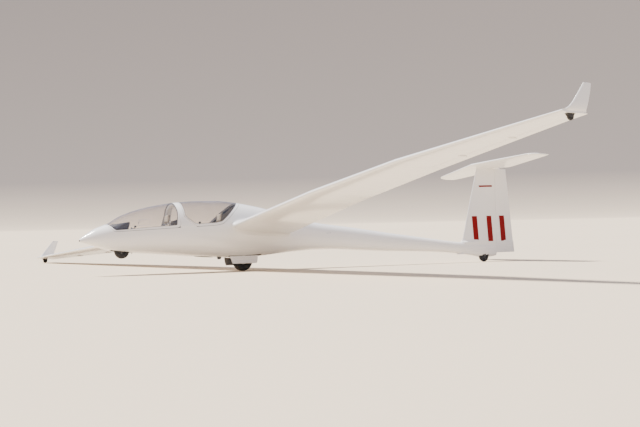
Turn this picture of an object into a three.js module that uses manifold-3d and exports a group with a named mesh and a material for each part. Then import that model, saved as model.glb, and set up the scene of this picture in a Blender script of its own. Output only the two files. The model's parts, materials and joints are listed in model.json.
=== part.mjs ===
// A two-seat sailplane of 20 m span, parked on its main wheel, its tail wheel and its starboard
// tip wheel. Millimetres. +X points aft, +Y to starboard, +Z up.
//
// The glider is modelled upright, in its parked pitch, with X = Y = Z = 0 where the main wheel
// touches the ground. A group then leans it to starboard, and moves the origin to the floor
// under the middle of the whole aircraft.

import * as THREE from 'three';
import { mergeVertices } from 'three/addons/utils/BufferGeometryUtils.js';
import Module from 'manifold-3d';

const wasm = await Module();
wasm.setup();

const RAD = Math.PI / 180;
const PORT = -1;
const STARBOARD = 1;

// Driving dimensions
const LEAN = 6.635 * RAD;
const ORIGIN = { x: 1337.3, y: 142.6, z: -0.16 };
const TOUCH_GAP = 0.3;
const MOVING_GAP = 5.6;
// The round nose of a control surface, as a share of the half thickness at its hinge, and how far
// its seat stands off that half thickness
const HINGE_NOSE = 0.93;
const HINGE_CLEARANCE = 8;
const HINGE_END_CLEARANCE = 9;

// Fuselage: the outline in side view and in plan
const FUSELAGE_RING_POINTS = 28;
const FUSELAGE = [
  // x, top, bottom, halfWidth, waist (the height of the greatest width)
  [-2948, 627, 583, 20, 605],
  [-2900, 664, 566, 50, 612],
  [-2809, 721, 540, 96, 625],
  [-2683, 792, 500, 148, 640],
  [-2446, 877, 428, 214, 668],
  [-2203, 1002, 392, 262, 690],
  [-1927, 1092, 368, 308, 706],
  [-1650, 1150, 347, 340, 716],
  [-1242, 1204, 314, 362, 728],
  [-813, 1227, 277, 365, 740],
  [-450, 1224, 252, 357, 752],
  [-229, 1203, 242, 347, 756],
  [-28, 1172, 240, 334, 755],
  [224, 1125, 248, 314, 745],
  [452, 1074, 262, 290, 730],
  [738, 1000, 286, 252, 700],
  [1133, 888, 316, 203, 640],
  [1414, 813, 330, 170, 598],
  [1733, 764, 328, 146, 560],
  [2200, 700, 300, 130, 508],
  [2779, 610, 264, 113, 440],
  [3816, 461, 218, 82, 338],
  [4346, 388, 172, 65, 275],
  [4700, 360, 122, 52, 232],
  [4860, 350, 92, 46, 215],
  [5030, 345, 88, 36, 205],
  [5236, 335, 112, 22, 210],
];
const BODY_SPLIT = 1000;
const SKIN = 22;

// Canopies, in side view: points as [x, z]
const CANOPY_FRONT = [[-2606, 985], [-2400, 716], [-2250, 718], [-1817, 727], [-1265, 744], [-1265, 1400],
  [-2606, 1400]];
const CANOPY_REAR = [[-1172, 1400], [-1172, 930], [-1015, 800], [-950, 754], [-600, 769], [-470, 795],
  [-354, 885], [10, 1207], [10, 1400]];
const CANOPY_OPENING = [[-2606, 985], [-2400, 716], [-2250, 718], [-1817, 727], [-950, 754], [-600, 769],
  [-470, 795], [-354, 885], [10, 1207], [10, 1400], [-2606, 1400]];
const HOOP = [[-1265 + MOVING_GAP, 1400], [-1265 + MOVING_GAP, 600], [-959, 600], [-959, 742],
  [-1025, 788], [-1183, 919], [-1183, 1400]];
// The clear panes inside the frames
const WINDOW_FRONT = [[-2576, 985], [-2387, 740], [-2174, 745], [-1818, 764], [-1325, 784], [-1318, 850],
  [-1281, 1010], [-1281, 1400], [-2576, 1400]];
const WINDOW_REAR = [[-1158, 1400], [-1158, 938], [-1010, 817], [-938, 797], [-607, 811], [-488, 834],
  [-382, 916], [-32, 1226], [-32, 1400]];
const CANOPY_FRAME_THICKNESS = 20;
const CANOPY_GLASS_THICKNESS = 6;
const HOOP_THICKNESS = 45;
const COCKPIT = [[-2545, 300], [-2545, 1300], [60, 1300], [-330, 420], [-420, 200]];
// The shell is made in four lengths, which meet ahead of the front seat, under the hoop and in the
// bulkhead that closes the cockpit
const NOSE_END = [[-3100, 0], [-3100, 1400], [-1965, 1400], [-1965, 0]];
const FRONT_END = [[-3100, 0], [-3100, 1400], [-1232, 1400], [-1232, 0]];
const BULKHEAD = 24;
const NOSE_BOX_TOP = 585;
const BULKHEAD_END = [[-3100, 0], [-3100, 1400], [104 + BULKHEAD, 1400], [-330 + BULKHEAD, 420],
  [-420 + BULKHEAD, 200], [-420 + BULKHEAD, 0]];

// Wings: LE is the leading edge; each panel is straight between its stations
const WING_ROOT = 400;
const WING_GAP = 3;
const WING_REFERENCE = 360;
const WING_TIP = 9993;
const WING_LE_HEIGHT = 753;
const WING_DIHEDRAL = 0.074;
const DROOP = { [PORT]: 410, [STARBOARD]: 186.6 };
const WING_INCIDENCE = 0.132;
const WING_CHORDS = [
  // y, chord, thickness as a share of the chord, bow of the leading edge
  [150, 1136, 0.160, 0],
  [360, 1122, 0.158, 0],
  [3200, 990, 0.152, -2],
  [5850, 838, 0.145, 15],
  [8550, 540, 0.138, 55],
  [9560, 430, 0.130, 75],
  [9993, 395, 0.120, 85],
];
const WING_LE_X = -297;
const PANEL_SPLIT = 5850;
const AILERON = { inner: 5900, outer: 9560, hinge: 0.76 };
const AFT_OF_WING = 900;
const AIRBRAKE = { inner: 2250, outer: 3650, chordShare: 0.48, blade: 8, cap: 34, depth: 105 };

// Winglets: a blend from the wing's tip into an upright blade
const WINGLET = [
  // outboard of the tip, height above it, LE aft of the tip's LE, chord, cant in degrees
  [25, 8, 30, 352, 20],
  [42, 40, 95, 281, 62],
  [46, 90, 150, 247, 84],
  [30, 230, 275, 183, 90],
  [8, 355, 385, 122, 90],
];

const WINGLET_OVERLAP = 40;
const WINGLET_THICKNESS = 0.11;
const WINGLET_CAMBER = 0.4;

// Tail
const FIN = [
  // z, LE x, hinge x, TE x, thickness at the hinge
  [150, 4400, 5240, 5623, 46],
  [479, 4530, 5262, 5614, 46],
  [1060, 4716, 5298, 5602, 42],
  [1800, 4962, 5345, 5584, 36],
];
const RUDDER_FOOT = 166;
const RUDDER_HEAD = 1722;
const TAILPLANE = [
  // y, LE x, TE x, thickness as a share of the chord
  [0, 4824, 5590, 0.115],
  [300, 4872, 5580, 0.115],
  [1430, 5062, 5492, 0.11],
  [1560, 5130, 5475, 0.10],
  [1620, 5240, 5462, 0.09],
];
const TAILPLANE_LE_HEIGHT = 1808;
const TAILPLANE_PITCH = 0.085;
// The elevator: its hinge line, half span, and half thickness in the middle and at the ends
const ELEVATOR = { hingeX: 5400, span: 1480, middle: 24, end: 10.3 };
// The notch in the elevator that lets the rudder swing
const NOTCH = [[5412, -68], [5640, -184], [5640, 184], [5412, 68]];

// Wheels: outer radius, width, rim radius, place of the axle
const MAIN_WHEEL = { r: 181, w: 125, rim: 74, x: 0, z: 183.3, bore: 15, sides: 36, rows: 12 };
const NOSE_WHEEL = { r: 130, w: 80, rim: 58, x: -2217, z: 412, bore: 10, sides: 28, rows: 10 };
const TAIL_WHEEL = { r: 100, w: 50, rim: 46, x: 4941, z: 101.3, bore: 8, sides: 24, rows: 10 };
const TIP_WHEEL = { r: 50, w: 36, x: -43, y: 9923, drop: 74, bore: 6, sides: 20, rows: 8 };
const PIN_GAP = 0.3;
// A door of the main wheel, as it hangs from its hinge at y, z
const GEAR_DOOR = { outline: [[-285, 0], [-262, -134], [215, -134], [243, 0]], thickness: 8, lean: 9 * RAD,
  y: 122, z: 250 };

// Colours from the photograph, as seen on the aircraft
const COLOURS = {
  gelcoat: [0xe9e6e3, 0.25, 0.0],
  clear: [0xdfe6ea, 0.05, 0.0],
  cabin: [0xcfc5b4, 0.7, 0.0],
  fabric: [0xb9a98e, 0.9, 0.0],
  dark: [0x2a2c36, 0.6, 0.0],
  black: [0x17171a, 0.5, 0.0],
  tyre: [0x1b1b1d, 0.85, 0.0],
  rim: [0xb9bcc0, 0.4, 0.7],
  steel: [0x9a9da2, 0.4, 0.8],
};
const MATERIALS = {};
for (const [name, [color, roughness, metalness]] of Object.entries(COLOURS)) {
  MATERIALS[name] = new THREE.MeshStandardMaterial({ name, color, roughness, metalness });
}

// Straight-line reading of a table whose first column rises
function readTable(table, at, column) {
  const last = table.length - 1;
  let i = 0;
  while (i < last - 1 && at > table[i + 1][0]) i += 1;
  const [low, high] = [table[i], table[i + 1]];
  const share = (at - low[0]) / (high[0] - low[0]);
  return low[column] + share * (high[column] - low[column]);
}

// A closed skin over a row of rings of equal length, with flat ends
function loft(rings) {
  const count = rings[0].length;
  const positions = rings.flat().flatMap((p) => [p.x, p.y, p.z]);
  const index = [];
  for (let r = 0; r < rings.length - 1; r += 1) {
    for (let i = 0; i < count; i += 1) {
      const a = r * count + i;
      const b = r * count + ((i + 1) % count);
      index.push(a, b, b + count, a, b + count, a + count);
    }
  }
  const capEnd = (ring, offset, flip) => {
    const u = new THREE.Vector3().subVectors(ring[1], ring[0]).normalize();
    const middle = ring.reduce((sum, p) => sum.add(p), new THREE.Vector3()).divideScalar(count);
    const normal = ring.reduce((sum, p, i) => sum.add(new THREE.Vector3().crossVectors(
      new THREE.Vector3().subVectors(p, middle),
      new THREE.Vector3().subVectors(ring[(i + 1) % count], middle))), new THREE.Vector3()).normalize();
    const v = new THREE.Vector3().crossVectors(normal, u);
    const flat = ring.map((p) => {
      const d = new THREE.Vector3().subVectors(p, middle);
      return new THREE.Vector2(d.dot(u), d.dot(v));
    });
    for (const [a, b, c] of THREE.ShapeUtils.triangulateShape(flat, [])) {
      index.push(...(flip ? [offset + a, offset + c, offset + b] : [offset + a, offset + b, offset + c]));
    }
  };
  capEnd(rings[0], 0, true);
  capEnd(rings[rings.length - 1], (rings.length - 1) * count, false);
  const geometry = new THREE.BufferGeometry();
  geometry.setAttribute('position', new THREE.Float32BufferAttribute(positions, 3));
  geometry.setIndex(index);
  return geometry;
}

function toSolid(geometry) {
  let plain = geometry.clone();
  plain.deleteAttribute('normal');
  plain.deleteAttribute('uv');
  plain = mergeVertices(plain, 1e-4);
  const mesh = new wasm.Mesh({
    numProp: 3,
    vertProperties: new Float32Array(plain.attributes.position.array),
    triVerts: new Uint32Array(plain.index.array),
  });
  const solid = new wasm.Manifold(mesh);
  if (solid.volume() >= 0) return solid;
  for (let i = 0; i < mesh.triVerts.length; i += 3) {
    [mesh.triVerts[i + 1], mesh.triVerts[i + 2]] = [mesh.triVerts[i + 2], mesh.triVerts[i + 1]];
  }
  const { vertProperties, triVerts } = mesh;
  return new wasm.Manifold(new wasm.Mesh({ numProp: 3, vertProperties, triVerts }));
}

function toGeometry(solid) {
  const mesh = solid.getMesh();
  const geometry = new THREE.BufferGeometry();
  geometry.setAttribute('position', new THREE.Float32BufferAttribute(mesh.vertProperties, 3));
  geometry.setIndex(new THREE.Uint32BufferAttribute(mesh.triVerts, 1));
  return geometry;
}

const union = (...solids) => solids.reduce((sum, solid) => sum.add(solid));
const cut = (solid, ...tools) => tools.reduce((rest, tool) => rest.subtract(tool), solid);

function block(x0, x1, y0, y1, z0, z1) {
  const geometry = new THREE.BoxGeometry(x1 - x0, y1 - y0, z1 - z0);
  geometry.translate((x0 + x1) / 2, (y0 + y1) / 2, (z0 + z1) / 2);
  return toSolid(geometry);
}

// A side-view outline of [x, z] points, pulled across the aircraft from y0 to y1
function sidePrism(points, y0, y1) {
  const shape = new THREE.Shape(points.map(([x, z]) => new THREE.Vector2(x, z)));
  const geometry = new THREE.ExtrudeGeometry(shape, { depth: y1 - y0, bevelEnabled: false });
  geometry.rotateX(Math.PI / 2);
  geometry.translate(0, y1, 0);
  return toSolid(geometry);
}

// Moves each edge of an outline inwards by a distance
function insetOutline(points, distance) {
  const area = points.reduce((sum, [x, z], i) => {
    const [nx, nz] = points[(i + 1) % points.length];
    return sum + x * nz - nx * z;
  }, 0);
  const turn = Math.sign(area);
  const edges = points.map(([x, z], i) => {
    const [nx, nz] = points[(i + 1) % points.length];
    const length = Math.hypot(nx - x, nz - z);
    const normal = [(-(nz - z) / length) * turn, ((nx - x) / length) * turn];
    return { x: x + normal[0] * distance, z: z + normal[1] * distance, dx: nx - x, dz: nz - z };
  });
  return edges.map((edge, i) => {
    const before = edges[(i + edges.length - 1) % edges.length];
    const cross = before.dx * edge.dz - before.dz * edge.dx;
    const t = ((edge.x - before.x) * edge.dz - (edge.z - before.z) * edge.dx) / cross;
    return [before.x + before.dx * t, before.z + before.dz * t];
  });
}

// Round bar between two points
function bar(from, to, radius, sides = 12) {
  const a = new THREE.Vector3(...from);
  const b = new THREE.Vector3(...to);
  const geometry = new THREE.CylinderGeometry(radius, radius, a.distanceTo(b), sides);
  geometry.applyQuaternion(new THREE.Quaternion().setFromUnitVectors(
    new THREE.Vector3(0, 1, 0), new THREE.Vector3().subVectors(b, a).normalize()));
  geometry.translate((a.x + b.x) / 2, (a.y + b.y) / 2, (a.z + b.z) / 2);
  return toSolid(geometry);
}

// Body of revolution about the Y axis: profile points are [radius, y]
function turned(profile, sides, x, y, z) {
  const closed = [...profile, profile[0]].map(([r, h]) => new THREE.Vector2(r, h));
  const geometry = new THREE.LatheGeometry(closed, sides);
  geometry.translate(x, y, z);
  return toSolid(geometry);
}

// Fuselage

function fuselageRing(x, inset = 0) {
  const top = readTable(FUSELAGE, x, 1) - inset;
  const bottom = readTable(FUSELAGE, x, 2) + inset;
  const half = readTable(FUSELAGE, x, 3) - inset;
  const waist = readTable(FUSELAGE, x, 4);
  const ring = [];
  for (let i = 0; i < FUSELAGE_RING_POINTS; i += 1) {
    const angle = (2 * Math.PI * i) / FUSELAGE_RING_POINTS;
    const [c, s] = [Math.cos(angle), Math.sin(angle)];
    const power = s > 0 ? 2 / 2.15 : 2 / 2.35;
    const rise = s > 0 ? top - waist : waist - bottom;
    ring.push(new THREE.Vector3(x, half * Math.sign(c) * Math.abs(c) ** power,
      waist + rise * Math.sign(s) * Math.abs(s) ** power));
  }
  return ring;
}

function fuselageLoft(from, to, inset = 0) {
  const between = FUSELAGE.map(([x]) => x).filter((x) => x > from + 1 && x < to - 1);
  return toSolid(loft([from, ...between, to].map((x) => fuselageRing(x, inset))));
}

const FUSELAGE_ENDS = [FUSELAGE[0][0], FUSELAGE[FUSELAGE.length - 1][0]];
const fuselageOuter = fuselageLoft(FUSELAGE_ENDS[0], FUSELAGE_ENDS[1]);

// Wing sections

function wingStation(side, y) {
  const stations = WING_CHORDS.map(([at]) => at);
  const height = (at) => {
    const share = (at - WING_REFERENCE) / (WING_TIP - WING_REFERENCE);
    return WING_LE_HEIGHT + WING_DIHEDRAL * (at - WING_REFERENCE) - DROOP[side] * Math.max(share, 0) ** 2;
  };
  // The outer panel is straight, so that its aileron turns about a straight line
  const knots = [stations[0], WING_REFERENCE, 3200, PANEL_SPLIT, WING_TIP];
  const heights = knots.map((at) => [at, height(at)]);
  return {
    x: WING_LE_X + readTable(WING_CHORDS, y, 3),
    z: readTable(heights, y, 1),
    chord: readTable(WING_CHORDS, y, 1),
    thickness: readTable(WING_CHORDS, y, 2),
  };
}

// Half thickness and camber of the wing section, as shares of the chord
function sectionShape(share, thickness) {
  const half = 5 * thickness * (0.2969 * Math.sqrt(share) - 0.126 * share - 0.3516 * share ** 2
    + 0.2843 * share ** 3 - 0.1036 * share ** 4) + 0.0022 * share;
  const camber = 0.105 * share * (1 - share) * (1 - 0.25 * share);
  return { half, camber };
}

const SECTION_STEPS = [0, 0.012, 0.045, 0.11, 0.22, 0.38, 0.56, 0.76, 1];

// Ring of a wing section: from the trailing edge over the top to the leading edge and back below
function sectionRing(leading, chord, thickness, along, up, camberShare = 1) {
  const at = (share, sign) => {
    const { half, camber } = sectionShape(share, thickness);
    return leading.clone().addScaledVector(along, chord * share)
      .addScaledVector(up, chord * (camber * camberShare + sign * half));
  };
  const over = [...SECTION_STEPS].reverse().map((share) => at(share, 1));
  const under = SECTION_STEPS.slice(1).map((share) => at(share, -1));
  return [...over, ...under];
}

const WING_PITCH = Math.atan(WING_INCIDENCE);
const WING_ALONG = new THREE.Vector3(Math.cos(WING_PITCH), 0, -Math.sin(WING_PITCH));
const WING_UP = new THREE.Vector3(Math.sin(WING_PITCH), 0, Math.cos(WING_PITCH));

function wingRing(side, y) {
  const { x, z, chord, thickness } = wingStation(side, y);
  return sectionRing(new THREE.Vector3(x, side * y, z), chord, thickness, WING_ALONG, WING_UP);
}

function wingLoft(side, from, to) {
  const between = WING_CHORDS.map(([y]) => y).filter((y) => y > from + 1 && y < to - 1);
  return toSolid(loft([from, ...between, to].map((y) => wingRing(side, y))));
}

// Point of the section's mean line at a share of the chord
function wingPoint(side, y, share) {
  const { x, z, chord, thickness } = wingStation(side, y);
  const { half, camber } = sectionShape(share, thickness);
  const p = new THREE.Vector3(x, side * y, z).addScaledVector(WING_ALONG, chord * share)
    .addScaledVector(WING_UP, chord * camber);
  return { point: p, half: half * chord };
}

// A plan-view outline of [x, y] points, pulled up from z0 to z1
function planPrism(points, z0, z1) {
  const shape = new THREE.Shape(points.map(([x, y]) => new THREE.Vector2(x, y)));
  const geometry = new THREE.ExtrudeGeometry(shape, { depth: z1 - z0, bevelEnabled: false });
  geometry.translate(0, 0, z0);
  return toSolid(geometry);
}

// A tapered round bar along a hinge line, for the nose of a control surface and its seat
function hingeRoll(a, b, radiusA, radiusB) {
  const axis = new THREE.Vector3().subVectors(b, a).normalize();
  const side = new THREE.Vector3().crossVectors(axis, new THREE.Vector3(0, 0, 1)).normalize();
  const up = new THREE.Vector3().crossVectors(side, axis);
  const ring = (middle, radius) => Array.from({ length: 16 }, (_, i) => {
    const angle = (2 * Math.PI * i) / 16;
    return middle.clone().addScaledVector(side, radius * Math.cos(angle))
      .addScaledVector(up, radius * Math.sin(angle));
  });
  return toSolid(loft([ring(a, radiusA), ring(b, radiusB)]));
}

// Splits a tapered wing-like solid at a hinge line: the moving part has a round nose, and the
// fixed part is cut back round it
function splitAtHinge(whole, near, far, tail, ends) {
  const [a, b] = [near.point, far.point];
  const slope = (b.x - a.x) / (b.y - a.y);
  const xAt = (y) => a.x + slope * (y - a.y);
  const outwards = Math.sign(ends[1] - ends[0]);
  const box = (gap) => {
    const [y0, y1] = [ends[0] - gap * outwards, ends[1] + gap * outwards];
    return planPrism([[xAt(y0), y0], [tail, y0], [tail, y1], [xAt(y1), y1]],
      Math.min(a.z, b.z) - 400, Math.max(a.z, b.z) + 400);
  };
  const direction = new THREE.Vector3().subVectors(b, a).normalize();
  const roll = hingeRoll(a, b, near.half * HINGE_NOSE, far.half * HINGE_NOSE);
  const seat = hingeRoll(a.clone().addScaledVector(direction, -HINGE_END_CLEARANCE),
    b.clone().addScaledVector(direction, HINGE_END_CLEARANCE),
    near.half + HINGE_CLEARANCE, far.half + HINGE_CLEARANCE);
  const moving = union(whole.intersect(box(0)), roll.intersect(whole));
  const fixed = cut(whole, box(MOVING_GAP + 1.4), seat);
  return { moving, fixed };
}

const meshes = new THREE.Group();

function add(name, solid, material) {
  const mesh = new THREE.Mesh(toGeometry(solid), MATERIALS[material].clone());
  mesh.name = name;
  meshes.add(mesh);
}

// Fuselage, boom and fin

function buildFuselage() {
  const wall = (inset) => fuselageLoft(-2760, 400, inset);
  const cockpit = wall(SKIN).intersect(sidePrism(COCKPIT, -500, 500));
  const opening = sidePrism(insetOutline(CANOPY_OPENING, -MOVING_GAP), -600, 600);
  const mainWell = block(-300, 330, -112, 112, 100, 520);
  const noseWell = block(-2430, -2080, -62, 62, 200, 570);
  const noseBox = block(-2445, -2065, -76, 76, 200, NOSE_BOX_TOP).intersect(fuselageOuter);
  const stubs = [PORT, STARBOARD].map((side) => wingLoft(side, 150, WING_ROOT));
  const front = fuselageOuter.intersect(block(-3100, BODY_SPLIT, -500, 500, 0, 1400));
  const inlet = bar([-2960, 0, 605], [-2915, 0, 605], 13);
  const hollow = cut(union(front, ...stubs), cockpit, opening);
  const shell = cut(union(hollow, noseBox), mainWell, noseWell, inlet);
  const ends = { fuselage_nose: NOSE_END, fuselage_shell: FRONT_END, fuselage_waist: BULKHEAD_END };
  let rest = shell;
  for (const [name, end] of Object.entries(ends)) {
    add(name, rest.intersect(sidePrism(end, -700, 700)), 'gelcoat');
    rest = cut(rest, sidePrism(insetOutline(end, -TOUCH_GAP), -700, 700));
  }
  add('fuselage_centre', rest, 'gelcoat');

  const hoopSkin = fuselageLoft(-1300, -900).subtract(fuselageLoft(-1310, -890, HOOP_THICKNESS));
  const sill = sidePrism(insetOutline(CANOPY_OPENING, -(MOVING_GAP - TOUCH_GAP)), -600, 600);
  add('canopy_hoop', hoopSkin.intersect(sidePrism(HOOP, -600, 600)).intersect(sill), 'gelcoat');
}

function finRing(z) {
  const [leading, trailing, width] = [1, 3, 4].map((column) => readTable(FIN, z, column));
  const chord = trailing - leading;
  const thickness = width / chord / 0.82;
  const [along, across] = [new THREE.Vector3(1, 0, 0), new THREE.Vector3(0, 1, 0)];
  return sectionRing(new THREE.Vector3(leading, 0, z), chord, thickness, along, across, 0);
}

function buildFin() {
  const whole = toSolid(loft(FIN.map(([z]) => finRing(z))));
  const hingeX = (z) => readTable(FIN, z, 2);
  const half = (z) => readTable(FIN, z, 4) / 2;
  const behindHinge = (z0, z1) => sidePrism([[hingeX(z0), z0], [5800, z0], [5800, z1], [hingeX(z1), z1]],
    -200, 200);
  const roll = (z0, z1, gap) => hingeRoll(new THREE.Vector3(hingeX(z0), 0, z0),
    new THREE.Vector3(hingeX(z1), 0, z1), half(z0) * HINGE_NOSE + gap, half(z1) * HINGE_NOSE + gap);
  const rudder = union(whole.intersect(behindHinge(RUDDER_FOOT, RUDDER_HEAD)),
    roll(RUDDER_FOOT, RUDDER_HEAD, 0).intersect(whole));
  add('rudder', rudder, 'gelcoat');

  const boom = fuselageOuter.intersect(block(BODY_SPLIT + TOUCH_GAP, 5300, -500, 500, 0, 1400));
  const room = union(roll(RUDDER_FOOT - 60, 1795, MOVING_GAP + 0.6), behindHinge(100, 1795));
  const well = block(4830, 5052, -36, 36, 40, 216);
  const above = sidePrism([[4700, tailplaneHeight(4700)], [5800, tailplaneHeight(5800)], [5800, 1900],
    [4700, 1900]], -200, 200);
  const seat = union(tailplaneSolid().translate([0, 0, -TOUCH_GAP]), above);
  add('tail_boom', cut(union(boom, whole), room, well, seat), 'gelcoat');
}

// Height of the tailplane's mean line
function tailplaneHeight(x) {
  return TAILPLANE_LE_HEIGHT - TAILPLANE_PITCH * (x - TAILPLANE[0][1]);
}

function tailplaneSolid() {
  const pitch = Math.atan(TAILPLANE_PITCH);
  const along = new THREE.Vector3(Math.cos(pitch), 0, -Math.sin(pitch));
  const up = new THREE.Vector3(Math.sin(pitch), 0, Math.cos(pitch));
  const ring = (side, [y, leading, trailing, thickness]) => {
    const edge = new THREE.Vector3(leading, side * y, tailplaneHeight(leading));
    return sectionRing(edge, (trailing - leading) / Math.cos(pitch), thickness, along, up, 0);
  };
  const half = (side) => TAILPLANE.map((row) => ring(side, row));
  return toSolid(loft([...half(PORT).reverse(), ...half(STARBOARD).slice(1)]));
}

function buildTailplane() {
  const whole = tailplaneSolid();
  const { hingeX } = ELEVATOR;
  const hinge = (y) => new THREE.Vector3(hingeX, y, tailplaneHeight(hingeX));
  const box = (gap) => {
    const reach = ELEVATOR.span + gap;
    return planPrism([[hingeX, -reach], [5800, -reach], [5800, reach], [hingeX, reach]], 1500, 2000);
  };
  const rollPair = (reach, middle, end) => union(hingeRoll(hinge(0), hinge(-reach), middle, end),
    hingeRoll(hinge(0), hinge(reach), middle, end));
  const nose = rollPair(ELEVATOR.span, ELEVATOR.middle * HINGE_NOSE, ELEVATOR.end * HINGE_NOSE);
  const seat = rollPair(ELEVATOR.span + MOVING_GAP, ELEVATOR.middle + HINGE_CLEARANCE,
    ELEVATOR.end + HINGE_CLEARANCE);
  const elevator = union(whole.intersect(box(0)), nose.intersect(whole));
  add('tailplane', cut(whole, box(MOVING_GAP), seat), 'gelcoat');
  add('elevator', cut(elevator, planPrism(NOTCH, 1500, 2000)), 'gelcoat');
}

// Wings

function wingName(side) {
  return side === PORT ? 'port' : 'starboard';
}

// Middle of the airbrake's slot on the wing's upper skin
function airbrakePoint(side, y) {
  const { point, half } = wingPoint(side, y, AIRBRAKE.chordShare);
  return point.clone().addScaledVector(WING_UP, half);
}

// A straight strip under the wing's upper skin: width along the chord, depth below the skin
function airbrakeStrip(side, width, topBelow, bottomBelow, gap) {
  const [a, b] = [airbrakePoint(side, AIRBRAKE.inner), airbrakePoint(side, AIRBRAKE.outer)];
  const along = new THREE.Vector3().subVectors(b, a).normalize();
  const ring = (middle, shift) => {
    const base = middle.clone().addScaledVector(along, shift);
    const corner = (s, d) => base.clone().addScaledVector(WING_ALONG, s * (width / 2 + gap))
      .addScaledVector(WING_UP, -d);
    const floor = bottomBelow + gap;
    return [corner(-1, topBelow), corner(1, topBelow), corner(1, floor), corner(-1, floor)];
  };
  return toSolid(loft([ring(a, -gap), ring(b, gap)]));
}

function buildWing(side) {
  const name = wingName(side);
  const slot = airbrakeStrip(side, AIRBRAKE.cap, -60, AIRBRAKE.depth, MOVING_GAP);
  const inner = wingLoft(side, WING_ROOT + WING_GAP, PANEL_SPLIT);
  add(`wing_inner_${name}`, cut(inner, slot), 'gelcoat');

  const skin = wingLoft(side, WING_REFERENCE, PANEL_SPLIT);
  const cap = airbrakeStrip(side, AIRBRAKE.cap, -60, 7, 0).intersect(skin);
  const blade = airbrakeStrip(side, AIRBRAKE.blade, 5, AIRBRAKE.depth, 0);
  add(`airbrake_${name}`, union(cap, blade), 'gelcoat');

  const whole = wingLoft(side, PANEL_SPLIT + 2, WING_TIP);
  const near = wingPoint(side, AILERON.inner, AILERON.hinge);
  const far = wingPoint(side, AILERON.outer, AILERON.hinge);
  const ends = [side * AILERON.inner, side * AILERON.outer];
  const { moving, fixed } = splitAtHinge(whole, near, far, AFT_OF_WING, ends);
  const winglet = wingletSolid(side);
  add(`wing_outer_${name}`, cut(union(fixed, winglet), tipWheelRoom(side)), 'gelcoat');
  add(`aileron_${name}`, moving, 'gelcoat');
}

function wingletSolid(side) {
  const tip = wingStation(side, WING_TIP);
  const rings = [wingRing(side, WING_TIP - WINGLET_OVERLAP)];
  for (const [out, rise, aft, chord, cant] of WINGLET) {
    const lean = cant * RAD;
    const up = new THREE.Vector3(0, -side * Math.sin(lean), 0).addScaledVector(WING_UP, Math.cos(lean));
    const y = side * (WING_TIP - WINGLET_OVERLAP + out);
    const leading = new THREE.Vector3(tip.x + aft, y, tip.z + rise);
    rings.push(sectionRing(leading, chord, WINGLET_THICKNESS, WING_ALONG, up, WINGLET_CAMBER));
  }
  return toSolid(loft(rings));
}

// Wheels

// Half section of a tyre: a fat oval whose flattest rows lie on the rim and on the tread
function tyreProfile({ r, w, rim, rows }) {
  const bulge = (share) => Math.sign(share) * Math.abs(share) ** 0.8;
  const bead = rim + TOUCH_GAP;
  const [middle, half] = [(r + bead) / 2, (r - bead) / 2 / bulge(Math.cos(Math.PI / rows))];
  return Array.from({ length: rows }, (_, i) => {
    const angle = (2 * Math.PI * (i + 0.5)) / rows;
    return [middle + half * bulge(Math.cos(angle)), (w / 2) * bulge(Math.sin(angle))];
  });
}

function buildWheel(name, wheel) {
  const profile = tyreProfile(wheel);
  add(`${name}_tyre`, turned(profile, wheel.sides, wheel.x, 0, wheel.z), 'tyre');
  const lip = wheel.w * 0.33;
  const hub = wheel.w * 0.42;
  const web = wheel.w * 0.1;
  const bore = wheel.bore + PIN_GAP;
  const half = [[bore, hub], [wheel.bore + 14, hub], [wheel.bore + 16, web], [wheel.rim - 12, web],
    [wheel.rim - 10, lip], [wheel.rim, lip]];
  const rim = [...half.map(([radius, y]) => [radius, -y]), ...half.reverse()];
  add(`${name}_rim`, turned(rim, wheel.sides, wheel.x, 0, wheel.z), 'rim');
}

// A fork: two cheeks beside the wheel, an axle between them and a block that joins them above
function forkSolid(wheel, cheek, reach, top, thickness, bridgeHeight = 24) {
  const inner = wheel.w / 2 + MOVING_GAP;
  const outer = inner + thickness;
  const crown = wheel.x + reach;
  const outline = [[wheel.x - 22, wheel.z - 18], [wheel.x + 22, wheel.z - 18], [crown + cheek, top],
    [crown - cheek, top]];
  const grip = inner + thickness / 2;
  const axle = bar([wheel.x, -grip, wheel.z], [wheel.x, grip, wheel.z], wheel.bore, 20);
  const bridge = block(crown - cheek, crown + cheek, -outer, outer, top - bridgeHeight, top);
  return union(sidePrism(outline, -outer, -inner), sidePrism(outline, inner, outer), axle, bridge);
}

function buildGear() {
  buildWheel('main', MAIN_WHEEL);
  buildWheel('nose', NOSE_WHEEL);
  buildWheel('tail', TAIL_WHEEL);
  add('main_gear_fork', forkSolid(MAIN_WHEEL, 34, -10, 519, 16), 'steel');
  add('nose_wheel_fork', forkSolid(NOSE_WHEEL, 26, 0, 569.5, 8, 18), 'steel');
  add('tail_wheel_fork', forkSolid(TAIL_WHEEL, 14, 0, 215.5, 4, 8), 'steel');

  // The main wheel's doors hang from the edges of its well, and lean out a little
  const belly = fuselageLoft(-700, 400, -TOUCH_GAP);
  for (const side of [PORT, STARBOARD]) {
    const half = GEAR_DOOR.thickness / 2;
    const plate = toGeometry(sidePrism(GEAR_DOOR.outline, -half, half));
    plate.rotateX(side * GEAR_DOOR.lean);
    plate.translate(0, side * GEAR_DOOR.y, GEAR_DOOR.z);
    add(`main_gear_door_${wingName(side)}`, toSolid(plate).subtract(belly), 'gelcoat');
  }
  add('tow_hook', block(-470, -400, -14, 14, 215, 262).subtract(belly), 'steel');
}

function tipWheelPlace(side) {
  const tip = wingStation(side, WING_TIP);
  return { x: TIP_WHEEL.x, y: side * TIP_WHEEL.y, z: tip.z - TIP_WHEEL.drop };
}

function tipWheelRoom(side) {
  const { x, y, z } = tipWheelPlace(side);
  return block(x - 68.3, x + 68.3, y - 33.3, y + 33.3, z - 60, z + 62.3);
}

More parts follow.
